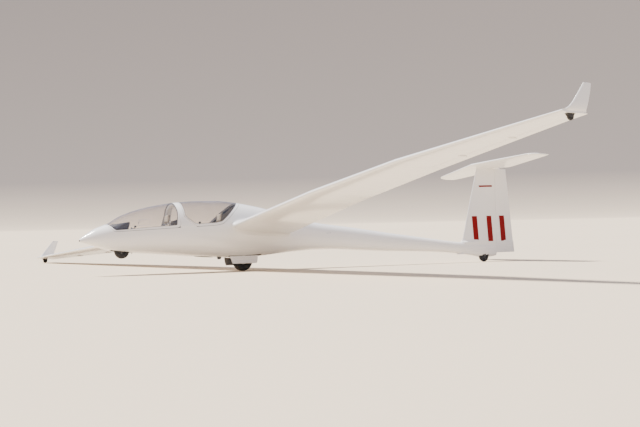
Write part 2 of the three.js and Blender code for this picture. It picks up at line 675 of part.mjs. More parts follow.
function buildTipWheel(side) {
  const name = wingName(side);
  const { x, y, z } = tipWheelPlace(side);
  const profile = tyreProfile({ ...TIP_WHEEL, rim: TIP_WHEEL.bore });
  add(`tip_wheel_${name}`, turned(profile, TIP_WHEEL.sides, x, y, z), 'tyre');
  const reach = TIP_WHEEL.w / 2 + MOVING_GAP;
  const cheek = 8;
  const outline = [[x - 18, z - 14], [x + 18, z - 14], [x + 66, z + 44], [x + 66, z + 62],
    [x - 66, z + 62], [x - 66, z + 44]];
  const housing = sidePrism(outline, y - reach - cheek, y + reach + cheek);
  const room = union(bar([x, y - reach, z], [x, y + reach, z], TIP_WHEEL.r + MOVING_GAP, 24),
    block(x - 60, x + 60, y - reach, y + reach, z - 60, z));
  const pin = bar([x, y - reach - 2, z], [x, y + reach + 2, z], TIP_WHEEL.bore, 20);
  add(`tip_wheel_mount_${name}`, union(cut(housing, room), pin), 'gelcoat');
}

// Canopies: a white frame round a clear shell

function buildCanopy(name, outline, opening, from, to) {
  const solid = fuselageLoft(from, to);
  const shell = (thickness) => solid.subtract(fuselageLoft(from - 10, to + 10, thickness));
  const whole = sidePrism(outline, -600, 600);
  const window = sidePrism(opening, -600, 600);
  const pane = sidePrism(insetOutline(opening, TOUCH_GAP), -600, 600);
  const frame = shell(CANOPY_FRAME_THICKNESS).intersect(whole).subtract(window);
  add(`${name}_canopy_frame`, frame, 'gelcoat');
  add(`${name}_canopy_glass`, shell(CANOPY_GLASS_THICKNESS).intersect(pane), 'clear');
}

// Cockpits

// A bent sheet: a side-view line with a thickness, pulled across the seat
function bentSheet(line, thickness, half) {
  const offset = line.map(([x, z], i) => {
    const [ax, az] = line[Math.max(i - 1, 0)];
    const [bx, bz] = line[Math.min(i + 1, line.length - 1)];
    const length = Math.hypot(bx - ax, bz - az);
    return [x - ((bz - az) / length) * thickness, z + ((bx - ax) / length) * thickness];
  });
  return sidePrism([...line, ...offset.reverse()], -half, half);
}

function lifted(line, rise) {
  return line.map(([x, z], i) => {
    const [ax, az] = line[Math.max(i - 1, 0)];
    const [bx, bz] = line[Math.min(i + 1, line.length - 1)];
    const length = Math.hypot(bx - ax, bz - az);
    return [x - ((bz - az) / length) * rise, z + ((bx - ax) / length) * rise];
  });
}

const SEATS = {
  // the pan's line from the knees to the shoulders, half width, headrest centre
  front: { line: [[-2000, 590], [-1780, 478], [-1640, 452], [-1540, 505], [-1372, 830]], half: 215,
    headrest: [-1378, 925] },
  rear: { line: [[-990, 560], [-790, 448], [-650, 425], [-550, 482], [-400, 820]], half: 225,
    headrest: [-402, 925] },
};

function buildSeat(name) {
  const { line, half, headrest } = SEATS[name];
  const pan = 14;
  const pad = 32;
  const cavity = fuselageLoft(-2700, 300, SKIN + TOUCH_GAP);
  const foot = block(line[2][0] - 30, line[2][0] + 60, -half + 40, half - 40, 250, line[2][1] + 4);
  add(`${name}_seat_pan`, union(bentSheet(line, pan, half), foot).intersect(cavity), 'cabin');
  const cushion = bentSheet(lifted(line, pan + TOUCH_GAP + 0.2), pad, half - 20);
  add(`${name}_seat_cushion`, cushion.intersect(cavity), 'fabric');
  const [hx, hz] = headrest;
  const post = sidePrism([[hx - 5, 780], [hx + 22, 780], [hx + 62, hz + 30], [hx + 44, hz + 40]], -20, 20);
  const head = sidePrism([[hx - 12, hz - 70], [hx + 36, hz - 62], [hx + 66, hz + 74],
    [hx + 18, hz + 82]], -95, 95);
  const seatRoom = bentSheet(lifted(line, -1), pad + pan + 3, half + 10);
  add(`${name}_headrest`, cut(union(head, post), seatRoom), 'dark');
}

function buildPanels() {
  const cavity = fuselageLoft(-2760, 300, SKIN + TOUCH_GAP);
  const hood = sidePrism([[-2459, 842], [-2118, 876], [-2108, 862], [-2144, 752], [-2440, 752]],
    -190, 190).intersect(fuselageLoft(-2760, 300, 34));
  add('front_panel_shroud', cut(hood, block(-2470, -2050, -168, 168, 700, 800)), 'dark');
  const pod = sidePrism([[-2310, 799.7], [-2150, 799.7], [-2176, 610], [-2238, 390],
    [-2290, 390], [-2310, 600]], -80, 80);
  const face = sidePrism([[-2188, 799.7], [-2150, 799.7], [-2170, 655], [-2208, 655]], -165, 165);
  const wheelBox = block(-2446, -2064, -77, 77, 200, 586);
  add('front_instrument_panel', cut(union(pod, face), wheelBox).intersect(cavity), 'dark');
  const rearFace = sidePrism([[-1225, 905], [-1180, 905], [-1180, 735], [-1225, 735]], -150, 150);
  const post = sidePrism([[-1225, 760], [-1180, 760], [-1220, 340], [-1270, 340]], -30, 30);
  add('rear_instrument_panel', union(rearFace, post).intersect(cavity), 'dark');
}

function buildControls() {
  const cavity = fuselageLoft(-2760, 300, SKIN + TOUCH_GAP);
  const stick = (x, z) => union(bar([x, 0, 300], [x, 0, z + 20], 11),
    bar([x, 0, z], [x + 20, 0, z + 250], 9), bar([x + 17, 0, z + 215], [x + 30, 0, z + 330], 16));
  const room = (line) => bentSheet(lifted(line, -60), 180, 60);
  const slots = union(room(SEATS.front.line), room(SEATS.rear.line));
  add('front_stick', stick(-2040, 470).intersect(cavity), 'black');
  add('rear_stick', stick(-1020, 430).intersect(cavity), 'black');
  const pedalPair = (x, z, y) => {
    const outline = [[x, z], [x + 12, z - 6], [x + 70, z + 146], [x + 56, z + 150]];
    const pedal = (side) => sidePrism(outline, side * y - 42, side * y + 42);
    const foot = (side) => block(x + 9, x + 23, side * 62 - 6, side * 62 + 6, NOSE_BOX_TOP + TOUCH_GAP, z + 22);
    return union(bar([x + 16, -y, z + 22], [x + 16, y, z + 22], 8), pedal(PORT), pedal(STARBOARD),
      foot(PORT), foot(STARBOARD));
  };
  add('front_pedals', pedalPair(-2400, 610, 110).subtract(slots), 'black');
}

buildFuselage();
buildFin();
buildTailplane();
buildWing(PORT);
buildWing(STARBOARD);
buildGear();
buildTipWheel(PORT);
buildTipWheel(STARBOARD);
buildCanopy('front', CANOPY_FRONT, WINDOW_FRONT, -2600, -1200);
buildCanopy('rear', CANOPY_REAR, WINDOW_REAR, -1240, 60);
buildSeat('front');
buildSeat('rear');
buildPanels();
buildControls();

// Leaning to starboard lowers the starboard wing
meshes.rotation.x = -LEAN;
const glider = new THREE.Group();
meshes.position.set(-ORIGIN.x, -ORIGIN.y, -ORIGIN.z);
glider.add(meshes);

export default glider;
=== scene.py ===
"""Looks of a two-seat sailplane of 20 m span, parked on its main, tail and starboard tip wheels.

Shapes are made in upright millimetres: +X aft, +Y to starboard, +Z up, with the origin where the
main wheel touches the ground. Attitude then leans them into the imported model's frame, in metres.
"""

import json
import logging
import math
from contextlib import contextmanager
from dataclasses import dataclass, field
from enum import Enum
from functools import lru_cache
from typing import Callable, Iterable, Iterator, Sequence

import bmesh
import bpy
import numpy as np
from mathutils import Matrix, Vector
from mathutils.bvhtree import BVHTree
from mathutils.interpolate import poly_3d_calc


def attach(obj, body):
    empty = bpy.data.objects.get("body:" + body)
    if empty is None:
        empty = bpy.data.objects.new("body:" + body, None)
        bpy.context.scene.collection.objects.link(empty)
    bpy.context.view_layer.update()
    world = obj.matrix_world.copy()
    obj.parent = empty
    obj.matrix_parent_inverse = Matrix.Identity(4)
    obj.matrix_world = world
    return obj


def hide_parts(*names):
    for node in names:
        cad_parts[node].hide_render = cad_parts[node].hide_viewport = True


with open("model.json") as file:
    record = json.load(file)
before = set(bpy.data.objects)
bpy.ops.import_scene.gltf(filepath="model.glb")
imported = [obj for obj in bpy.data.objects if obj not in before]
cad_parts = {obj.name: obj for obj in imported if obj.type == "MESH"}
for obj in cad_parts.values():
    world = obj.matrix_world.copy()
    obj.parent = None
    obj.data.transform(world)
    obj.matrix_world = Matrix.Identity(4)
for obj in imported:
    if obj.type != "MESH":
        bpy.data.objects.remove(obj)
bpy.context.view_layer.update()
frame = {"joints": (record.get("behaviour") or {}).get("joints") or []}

LOG = logging.getLogger("sailplane")
MM = 0.001
SLOTS = 4
SHARP_ANGLE = math.radians(32)
# How far apart, in metres, and how much turned two surfaces may be and still coincide
NEAR = 0.0006
ALIKE = math.cos(math.radians(20))
# The width of the gaps beside moving parts, and a place behind all of the tail, in millimetres
GAP = 5.6
AFT = 5800.0
# How many frames a cushion's cloth is blown up for
CLOTH_FRAMES = 20

Triple = tuple[float, float, float]
Pair = tuple[float, float]
Piece = bpy.types.Object
Socket = bpy.types.NodeSocket


class Side(Enum):
    """The two sides of the aircraft, with the sign of their Y."""

    PORT = -1
    STARBOARD = 1

    @property
    def word(self) -> str:
        """The side's name, as it ends a node's name."""
        return self.name.lower()


@dataclass(frozen=True)
class Attitude:
    """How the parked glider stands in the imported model's frame."""

    axle: Vector
    lean: float
    axle_height: float = 183.3

    @classmethod
    def parked(cls) -> "Attitude":
        """The attitude, read from the main wheel's hinge."""
        hinge = joint_named("main_wheel_spin")
        axis = hinge["axis"]
        return cls(Vector(hinge["pos_m"]), math.atan2(-axis[2], axis[1]))

    @property
    def matrix(self) -> Matrix:
        """The matrix from upright millimetres to the frame's metres."""
        to_axle = Matrix.Translation((0.0, 0.0, -self.axle_height))
        return (Matrix.Translation(self.axle) @ Matrix.Rotation(-self.lean, 4, "X")
                @ Matrix.Scale(MM, 4) @ to_axle)

    def upright(self, point: Sequence[float]) -> Vector:
        """A point of the frame, in upright millimetres."""
        return self.matrix.inverted() @ Vector(point)

    def upright_direction(self, direction: Sequence[float]) -> Vector:
        """A direction of the frame, in the upright axes."""
        return (self.matrix.to_3x3().inverted() @ Vector(direction)).normalized()


def joint_named(name: str) -> dict:
    """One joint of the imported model."""
    return next(joint for joint in frame["joints"] if joint["name"] == name)


PARKED = Attitude.parked()


@dataclass(frozen=True)
class HingeLine:
    """A straight hinge line in upright millimetres."""

    point: Vector
    axis: Vector

    @classmethod
    def of(cls, joint: str) -> "HingeLine":
        """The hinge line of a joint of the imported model."""
        found = joint_named(joint)
        return cls(PARKED.upright(found["pos_m"]), PARKED.upright_direction(found["axis"]))

    def at(self, index: int, value: float) -> Vector:
        """The point of the line where one coordinate has a value."""
        return self.point + self.axis * ((value - self.point[index]) / self.axis[index])


class Course:
    """A smooth reading of a table's columns by its rising first column."""

    def __init__(self, table: Sequence[Sequence[float]]) -> None:
        """Works out a slope for each row, so that the curve has no overshoot."""
        rows = np.array(table, float)
        self.at = rows[:, 0]
        self.values = rows[:, 1:]
        steps = np.diff(self.at)[:, None]
        rises = np.diff(self.values, axis=0) / steps
        self.slopes = np.zeros_like(self.values)
        self.slopes[0], self.slopes[-1] = rises[0], rises[-1]
        before, after = rises[:-1], rises[1:]
        same = before * after > 0
        weight_a = 2 * steps[1:] + steps[:-1]
        weight_b = steps[1:] + 2 * steps[:-1]
        with np.errstate(divide="ignore", invalid="ignore"):
            mean = (weight_a + weight_b) / (weight_a / before + weight_b / after)
        self.slopes[1:-1] = np.where(same, mean, 0.0)

    def __call__(self, where: float) -> np.ndarray:
        """Reads all the columns.

        Args:
            where: the value of the first column.

        Returns:
            The other columns there.
        """
        i = int(np.clip(np.searchsorted(self.at, where) - 1, 0, len(self.at) - 2))
        step = self.at[i + 1] - self.at[i]
        t = (where - self.at[i]) / step
        if t < 0 or t > 1:
            end = 0 if t < 0 else -1
            return self.values[end] + self.slopes[end] * (where - self.at[end])
        return ((1 + 2 * t) * (1 - t) ** 2 * self.values[i] + t * (1 - t) ** 2 * step * self.slopes[i]
                + t * t * (3 - 2 * t) * self.values[i + 1] - t * t * (1 - t) * step * self.slopes[i + 1])


def straight(table: Sequence[Sequence[float]], where: float) -> np.ndarray:
    """Reads a table along straight lines between its rows."""
    rows = np.array(table, float)
    return np.array([np.interp(where, rows[:, 0], rows[:, c]) for c in range(1, rows.shape[1])])


def placed(name: str, data: bpy.types.ID) -> Piece:
    """A new object in the scene."""
    made = bpy.data.objects.new(name, data)
    bpy.context.scene.collection.objects.link(made)
    return made


def blank_mesh() -> bpy.types.Mesh:
    """A new mesh with an empty place for each finish."""
    mesh = bpy.data.meshes.new("form")
    for _ in range(SLOTS):
        mesh.materials.append(None)
    return mesh


@contextmanager
def opened(mesh: bpy.types.Mesh) -> Iterator[bmesh.types.BMesh]:
    """Opens a mesh for changes, and writes them back at the end."""
    work = bmesh.new()
    work.from_mesh(mesh)
    yield work
    work.to_mesh(mesh)
    work.free()


class Form:
    """A closed shape in upright millimetres, with a finish number on each face."""

    def __init__(self, mesh: bpy.types.Mesh) -> None:
        """Takes over a mesh."""
        self.mesh = mesh

    @classmethod
    def of(cls, points: np.ndarray, faces: list[list[int]], slot: int = 0) -> "Form":
        """Makes a shape from points and faces, with its faces turned outwards.

        Args:
            points: the corners.
            faces: for each face, the numbers of its corners.
            slot: the finish number of every face.

        Returns:
            The shape.
        """
        mesh = blank_mesh()
        mesh.from_pydata(np.asarray(points, float).reshape(-1, 3).tolist(), [], faces)
        with opened(mesh) as work:
            bmesh.ops.recalc_face_normals(work, faces=work.faces)
        mesh.polygons.foreach_set("material_index", [slot] * len(mesh.polygons))
        return cls(mesh)

    @classmethod
    def loft(cls, rings: Sequence[Sequence[Sequence[float]]], slot: int = 0) -> "Form":
        """A skin over rings of equal length, closed at both ends.

        Args:
            rings: the rings, each a list of points.
            slot: the finish number of every face.

        Returns:
            The shape.
        """
        points = np.array(rings, float)
        count, around = points.shape[:2]
        faces = []
        for r in range(count - 1):
            for i in range(around):
                a, b = r * around + i, r * around + (i + 1) % around
                faces.append([a, b, b + around, a + around])
        faces.append(list(range(around)))
        faces.append(list(range((count - 1) * around, count * around)))
        return cls.of(points, faces, slot)

    @classmethod
    def prism(cls, outline: Sequence[Pair], low: float, high: float, along: str = "y",
              slot: int = 0) -> "Form":
        """A flat outline pulled along an axis."""
        index = "xyz".index(along)
        rings = [[[*p[:index], level, *p[index:]] for p in outline] for level in (low, high)]
        return cls.loft(rings, slot)

    @classmethod
    def box(cls, low: Triple, high: Triple, slot: int = 0) -> "Form":
        """A box between two corners."""
        return cls.prism([(low[0], low[1]), (high[0], low[1]), (high[0], high[1]), (low[0], high[1])],
                         low[2], high[2], "z", slot)

    @classmethod
    def lathe(cls, profile: Sequence[Pair], sides: int, centre: Sequence[float] = (0, 0, 0),
              axis: Sequence[float] = (0, 1, 0), slot: int = 0) -> "Form":
        """A closed profile turned about an axis.

        Args:
            profile: points as radius and place along the axis, which close on themselves.
            sides: the number of steps round the axis.
            centre: where the axis passes.
            axis: its direction.
            slot: the finish number of every face.

        Returns:
            The shape.
        """
        turn = Vector((0, 0, 1)).rotation_difference(Vector(axis))
        points = []
        for s in range(sides):
            angle = 2 * math.pi * s / sides
            for radius, place in profile:
                p = Vector((radius * math.cos(angle), radius * math.sin(angle), place))
                points.append(turn @ p + Vector(centre))
        rows = len(profile)
        faces = []
        for s in range(sides):
            for i in range(rows):
                j, t = (i + 1) % rows, (s + 1) % sides
                faces.append([s * rows + i, s * rows + j, t * rows + j, t * rows + i])
        return cls.of(points, faces, slot).merged()

    @classmethod
    def disc(cls, centre: Sequence[float], axis: Sequence[float], profile: Sequence[Pair],
             sides: int = 32, slot: int = 0) -> "Form":
        """A solid of revolution whose profile starts and ends on the axis."""
        return cls.lathe(profile, sides, centre, axis, slot)

    @classmethod
    def rod(cls, path: Sequence[Sequence[float]], radius: float | Sequence[float], sides: int = 14,
            slot: int = 0, flat: float = 1.0, up: Sequence[float] = (0, 0, 1)) -> "Form":
        """A round or oval bar along a path.

        Args:
            path: points on its centre line.
            radius: its radius, or one radius for each point.
            sides: the number of steps round it.
            slot: the finish number of every face.
            flat: its height as a share of its width.
            up: the direction that its height keeps to.

        Returns:
            The shape.
        """
        points = [Vector(p) for p in path]
        radii = list(radius) if isinstance(radius, Iterable) else [radius] * len(points)
        rings = []
        for i, (p, r) in enumerate(zip(points, radii)):
            ahead = (points[min(i + 1, len(points) - 1)] - points[max(i - 1, 0)]).normalized()
            across = ahead.cross(Vector(up))
            if across.length < 1e-3:
                across = ahead.cross(Vector((1, 0, 0)))
            across.normalize()
            rise = across.cross(ahead)
            rings.append([p + across * (r * math.cos(a)) + rise * (r * flat * math.sin(a))
                          for a in (2 * math.pi * s / sides for s in range(sides))])
        return cls.loft(rings, slot)

    def merged(self) -> "Form":
        """The shape with points that coincide joined, and flat faces dropped."""
        with opened(self.mesh) as work:
            bmesh.ops.remove_doubles(work, verts=work.verts, dist=1e-4)
            bmesh.ops.dissolve_degenerate(work, dist=1e-5, edges=work.edges)
            bmesh.ops.recalc_face_normals(work, faces=work.faces)
        return self

    def _combined(self, others: Iterable["Form"], operation: str) -> "Form":
        """Joins, cuts or keeps the shape with others in turn; each face keeps its finish number."""
        result = self.mesh
        for other in others:
            holders = [placed("form", mesh) for mesh in (result, other.mesh)]
            modifier = holders[0].modifiers.new("combine", "BOOLEAN")
            modifier.operation = operation
            modifier.solver = "EXACT"
            modifier.material_mode = "INDEX"
            modifier.object = holders[1]
            graph = bpy.context.evaluated_depsgraph_get()
            result = bpy.data.meshes.new_from_object(holders[0].evaluated_get(graph))
            for holder in holders:
                bpy.data.objects.remove(holder)
        return Form(result)

    def cut(self, *tools: "Form") -> "Form":
        """The shape with other shapes taken out of it."""
        return self._combined(tools, "DIFFERENCE")

    def keep(self, *others: "Form") -> "Form":
        """What the shape has in common with the others."""
        return self._combined(others, "INTERSECT")

    def join(self, *others: "Form") -> "Form":
        """The shape and others as one skin."""
        return self._combined(others, "UNION")

    def with_parts(self, *others: "Form") -> "Form":
        """The shape and others in one mesh, each with its own skin."""
        return Form.group((self, *others))

    @classmethod
    def group(cls, forms: Iterable["Form"]) -> "Form":
        """Shapes in one mesh, each with its own skin."""
        work = bmesh.new()
        for form in forms:
            work.from_mesh(form.mesh)
        mesh = blank_mesh()
        work.to_mesh(mesh)
        work.free()
        return cls(mesh)

    def moved(self, matrix: Matrix) -> "Form":
        """A copy of the shape, moved by a matrix."""
        mesh = self.mesh.copy()
        mesh.transform(matrix)
        return Form(mesh)

    def triangulated(self) -> "Form":
        """The shape with its many-sided faces split, so that rounding keeps the bent ones whole."""
        with opened(self.mesh) as work:
            bmesh.ops.triangulate(work, faces=[face for face in work.faces if len(face.verts) > 4])
        return self

    def softened(self, width: float, segments: int = 3, angle: float = 35) -> "Form":
        """The shape with its edges rounded.

        Args:
            width: the width of the rounding.
            segments: the number of faces across it.
            angle: edges that turn by more degrees than this are rounded.

        Returns:
            The same shape, changed.
        """
        limit = math.radians(angle)
        with opened(self.mesh) as work:
            edges = [e for e in work.edges if e.is_manifold and e.calc_face_angle(0.0) > limit]
            bmesh.ops.bevel(work, geom=edges, offset=width, segments=segments, profile=0.5,
                            affect="EDGES", clamp_overlap=True)
        return self

    def finish_where(self, slot: int, chosen: Callable[[bpy.types.MeshPolygon], bool]) -> "Form":
        """The shape with a finish number set on the chosen faces.

        Args:
            slot: the finish number.
            chosen: says of a face whether it takes that number.

        Returns:
            The same shape, changed.
        """
        for face in self.mesh.polygons:
            if chosen(face):
                face.material_index = slot
        return self

    def piece(self, name: str, body: str, finishes: Sequence["Finish"], slot: str,
              replaces: Sequence[str] = (), like: "Form | None" = None) -> Piece:
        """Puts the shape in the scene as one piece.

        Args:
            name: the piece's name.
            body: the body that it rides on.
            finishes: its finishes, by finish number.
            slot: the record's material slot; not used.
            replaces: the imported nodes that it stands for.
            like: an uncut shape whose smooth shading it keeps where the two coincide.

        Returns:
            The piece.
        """
        mesh = self.mesh.copy()
        mesh.transform(PARKED.matrix)
        mesh.name = name
        numbers = [face.material_index for face in mesh.polygons]
        mesh.materials.clear()
        for finish in finishes:
            mesh.materials.append(finish.material())
        mesh.polygons.foreach_set("material_index", numbers)
        mesh.polygons.foreach_set("use_smooth", [True] * len(mesh.polygons))
        mesh.set_sharp_from_angle(angle=SHARP_ANGLE)
        if like is not None:
            shade_like(mesh, like.mesh)
        piece = placed(name, mesh)
        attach(piece, body)
        if replaces:
            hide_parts(*replaces)
        LOG.info("%s on %s: %d faces", name, body, len(mesh.polygons))
        return piece


def shade_like(mesh: bpy.types.Mesh, uncut: bpy.types.Mesh) -> None:
    """Gives a cut mesh the smooth shading of the uncut one, wherever their surfaces coincide.

    Args:
        mesh: the cut mesh, in the frame's metres.
        uncut: the uncut one, in upright millimetres.
    """
    source = uncut.copy()
    source.transform(PARKED.matrix)
    points = [v.co.copy() for v in source.vertices]
    normals = [v.normal.copy() for v in source.vertices]
    faces = [tuple(face.vertices) for face in source.polygons]
    tree = BVHTree.FromPolygons(points, faces)
    result = [(0.0, 0.0, 0.0)] * len(mesh.loops)
    for face in mesh.polygons:
        for number in face.loop_indices:
            place = mesh.vertices[mesh.loops[number].vertex_index].co
            found, normal, index, distance = tree.find_nearest(place)
            if index is None or distance > NEAR or len(faces[index]) > 4 or normal.dot(face.normal) < ALIKE:
                continue
            corners = faces[index]
            shares = poly_3d_calc([points[c] for c in corners], found)
            blended = sum((normals[c] * share for c, share in zip(corners, shares)), Vector())
            if blended.dot(face.normal) > ALIKE:
                result[number] = tuple(blended.normalized())
    mesh.normals_split_custom_set(result)
    bpy.data.meshes.remove(source)


class Shading:
    """Builds one material round a Principled shader."""

    def __init__(self, name: str) -> None:
        """Starts a material."""
        self.material = bpy.data.materials.new(name)
        self.material.use_nodes = True
        self.nodes = self.material.node_tree.nodes
        self.links = self.material.node_tree.links
        self.shader = self.nodes["Principled BSDF"]
        self.place = self.nodes.new("ShaderNodeTexCoord").outputs["Object"]

    def node(self, kind: str, inputs: dict | None = None, **settings: object) -> bpy.types.Node:
        """Adds a node.

        Args:
            kind: the node's type, without ShaderNode.
            inputs: for each input's name or number, a value or the socket that feeds it.
            settings: the node's own settings.

        Returns:
            The node.
        """
        made = self.nodes.new("ShaderNode" + kind)
        for key, value in settings.items():
            setattr(made, key, value)
        for key, value in (inputs or {}).items():
            if isinstance(value, Socket):
                self.links.new(value, made.inputs[key])
            else:
                made.inputs[key].default_value = value
        return made

    def set(self, **inputs: object) -> None:
        """Sets the shader's own sockets, whose names have _ for a space."""
        for key, value in inputs.items():
            socket = self.shader.inputs[key.replace("_", " ")]
            if isinstance(value, Socket):
                self.links.new(value, socket)
            else:
                socket.default_value = (*value, 1.0) if isinstance(value, tuple) else value

    def stretched(self, scale: Triple) -> Socket:
        """The place in the frame, stretched along its axes."""
        return self.node("Mapping", {"Vector": self.place, "Scale": scale}).outputs[0]

    def noise(self, scale: float, detail: float = 3.0, roughness: float = 0.5,
              place: Socket | None = None) -> Socket:
        """A cloudy value from 0 to 1."""
        return self.node("TexNoise", {"Vector": place or self.place, "Scale": scale, "Detail": detail,
                                      "Roughness": roughness}).outputs[0]

    def span(self, value: Socket, low: float, high: float, to_low: float = 0.0,
             to_high: float = 1.0) -> Socket:
        """A value brought from one range to another, and kept inside it."""
        return self.node("MapRange", {"Value": value, "From Min": low, "From Max": high,
                                      "To Min": to_low, "To Max": to_high}).outputs[0]

    def math(self, operation: str, a: object, b: object = 0.0) -> Socket:
        """One sum of two values."""
        return self.node("Math", {0: a, 1: b}, operation=operation).outputs[0]

    def mix(self, factor: object, a: object, b: object) -> Socket:
        """A mix of two colours."""
        made = self.node("Mix", {0: factor}, data_type="RGBA")
        for socket, value in ((made.inputs[6], a), (made.inputs[7], b)):
            if isinstance(value, Socket):
                self.links.new(value, socket)
            else:
                socket.default_value = (*value, 1.0)
        return made.outputs[2]

    def bump(self, height: Socket, strength: float, distance: float,
             before: Socket | None = None) -> Socket:
        """A bump from a height.

        Args:
            height: the height's socket.
            strength: from 0 to 1.
            distance: the height of a full step, in metres.
            before: another bump that it lies on.

        Returns:
            The normal's socket.
        """
        inputs = {"Height": height, "Strength": strength, "Distance": distance}
        if before is not None:
            inputs["Normal"] = before
        return self.node("Bump", inputs).outputs[0]


@dataclass(frozen=True)
class Finish:
    """A surface's finish. Each kind of finish draws its own material."""

    name: str

    def material(self) -> bpy.types.Material:
        """The finish's material, made once."""
        return made_material(self)

    def draw(self, shading: Shading) -> None:
        """Sets up the material's nodes."""
        raise NotImplementedError


@lru_cache(maxsize=None)
def made_material(finish: Finish) -> bpy.types.Material:
    """A finish's material, the same one on each call."""
    shading = Shading(finish.name)
    finish.draw(shading)
    return shading.material


def toned(color: Triple, factor: float, lift: float = 0.0) -> Triple:
    """A colour made lighter or darker."""
    return tuple(min(1.0, factor * c + lift) for c in color)


@dataclass(frozen=True)
class Gelcoat(Finish):
    """Polished white gelcoat with faint clouds, dust low down and fine polishing marks."""

    color: Triple = (0.83, 0.82, 0.815)
    dust: Triple = (0.62, 0.55, 0.46)
    dust_top: float = 0.55
    roughness: Pair = (0.16, 0.30)

    def draw(self, shading: Shading) -> None:
        """Sets up the material's nodes."""
        clouds = shading.noise(1.7, 4.0, 0.6)
        aged = shading.mix(shading.span(clouds, 0.35, 0.75, 0.0, 0.35), self.color,
                           tuple(c * f for c, f in zip(self.color, (0.95, 0.945, 0.93))))
        height = shading.node("SeparateXYZ", {0: shading.place}).outputs[2]
        low_down = shading.span(height, 0.05, self.dust_top, 0.30, 0.0)
        specks = shading.span(shading.noise(38.0, 5.0, 0.7), 0.45, 0.8, 0.1, 1.0)
        tone = shading.mix(shading.math("MULTIPLY", low_down, specks), aged, self.dust)
        streaks = shading.noise(1.0, 3.0, 0.6, shading.stretched((3.0, 22.0, 40.0)))
        sheen = shading.math("ADD", shading.span(streaks, 0.3, 0.8, self.roughness[0], self.roughness[1]),
                             shading.math("MULTIPLY", low_down, 0.3))
        ripple = shading.bump(shading.noise(2.3, 1.0), 0.05, 0.004)
        shading.set(Base_Color=tone, Roughness=sheen, Normal=ripple, Coat_Weight=0.5, Coat_Roughness=0.06)


@dataclass(frozen=True)
class Moulded(Finish):
    """A moulded or painted plastic with a fine grain, paler where it is rubbed."""

    color: Triple = (0.03, 0.03, 0.035)
    roughness: float = 0.5
    grain: float = 900.0
    depth: float = 0.0003
    worn: float = 0.25

    def draw(self, shading: Shading) -> None:
        """Sets up the material's nodes."""
        wear = shading.span(shading.noise(9.0, 5.0, 0.65), 0.42, 0.72, 0.0, self.worn)
        pale = toned(self.color, 1.5, 0.03)
        rough = shading.span(shading.noise(60.0, 4.0), 0.3, 0.7, self.roughness - 0.08,
                             self.roughness + 0.10)
        bump = shading.bump(shading.noise(self.grain, 2.0), 0.35, self.depth)
        shading.set(Base_Color=shading.mix(wear, self.color, pale), Roughness=rough, Normal=bump)


@dataclass(frozen=True)
class Flecked(Finish):
    """Cabin paint with fine flecks on a lightly textured ground."""

    color: Triple = (0.60, 0.555, 0.47)
    fleck: Triple = (0.34, 0.30, 0.25)

    def draw(self, shading: Shading) -> None:
        """Sets up the material's nodes."""
        flecks = shading.node("TexVoronoi", {"Vector": shading.place, "Scale": 420.0}).outputs[0]
        spots = shading.span(flecks, 0.16, 0.22, 0.75, 0.0)
        ground = shading.mix(shading.span(shading.noise(4.0, 4.0), 0.35, 0.7, 0.0, 0.4), self.color,
                             toned(self.color, 0.86))
        rough = shading.span(shading.noise(120.0, 3.0), 0.3, 0.7, 0.5, 0.7)
        bump = shading.bump(shading.noise(500.0, 3.0), 0.4, 0.0004)
        shading.set(Base_Color=shading.mix(spots, ground, self.fleck), Roughness=rough, Normal=bump)


@dataclass(frozen=True)
class Woven(Finish):
    """Cloth or webbing with crossing threads, seen at any distance as a soft tone."""

    color: Triple = (0.47, 0.40, 0.30)
    thread: float = 520.0
    fade: float = 0.25
    sheen: float = 0.3

    def draw(self, shading: Shading) -> None:
        """Sets up the material's nodes."""
        waves = []
        for direction in ("X", "Y", "Z"):
            wave = shading.node("TexWave", {"Vector": shading.place, "Scale": self.thread / 6.3,
                                            "Distortion": 0.6, "Detail": 1.0}, bands_direction=direction)
            waves.append(wave.outputs[1])
        warp = shading.math("MULTIPLY", waves[0], waves[1])
        weave = shading.math("ADD", warp, shading.math("MULTIPLY", waves[2], 0.5))
        threads = shading.mix(shading.span(weave, 0.1, 1.1), toned(self.color, 0.62), self.color)
        patches = shading.span(shading.noise(6.0, 4.0, 0.6), 0.4, 0.75, 0.0, self.fade)
        fluff = shading.noise(150.0, 4.0, 0.7)
        bump = shading.bump(weave, 0.5, 0.0006, shading.bump(fluff, 0.25, 0.0008))
        shading.set(Base_Color=shading.mix(patches, threads, toned(self.color, 1.25, 0.02)),
                    Roughness=0.9, Normal=bump, Sheen_Weight=self.sheen, Sheen_Roughness=0.5)


@dataclass(frozen=True)
class Leathery(Finish):
    """Leathercloth with a pebbled grain, shiny on its high spots."""

    color: Triple = (0.05, 0.052, 0.065)

    def draw(self, shading: Shading) -> None:
        """Sets up the material's nodes."""
        cells = shading.node("TexVoronoi", {"Vector": shading.place, "Scale": 330.0},
                             feature="DISTANCE_TO_EDGE").outputs[0]
        creases = shading.span(cells, 0.0, 0.25)
        soft = shading.noise(14.0, 4.0)
        tone = shading.mix(shading.span(soft, 0.35, 0.7, 0.0, 0.5), self.color,
                           toned(self.color, 1.35, 0.006))
        bump = shading.bump(creases, 0.35, 0.0005, shading.bump(soft, 0.2, 0.003))
        shading.set(Base_Color=tone, Roughness=shading.span(creases, 0.0, 1.0, 0.66, 0.46), Normal=bump)


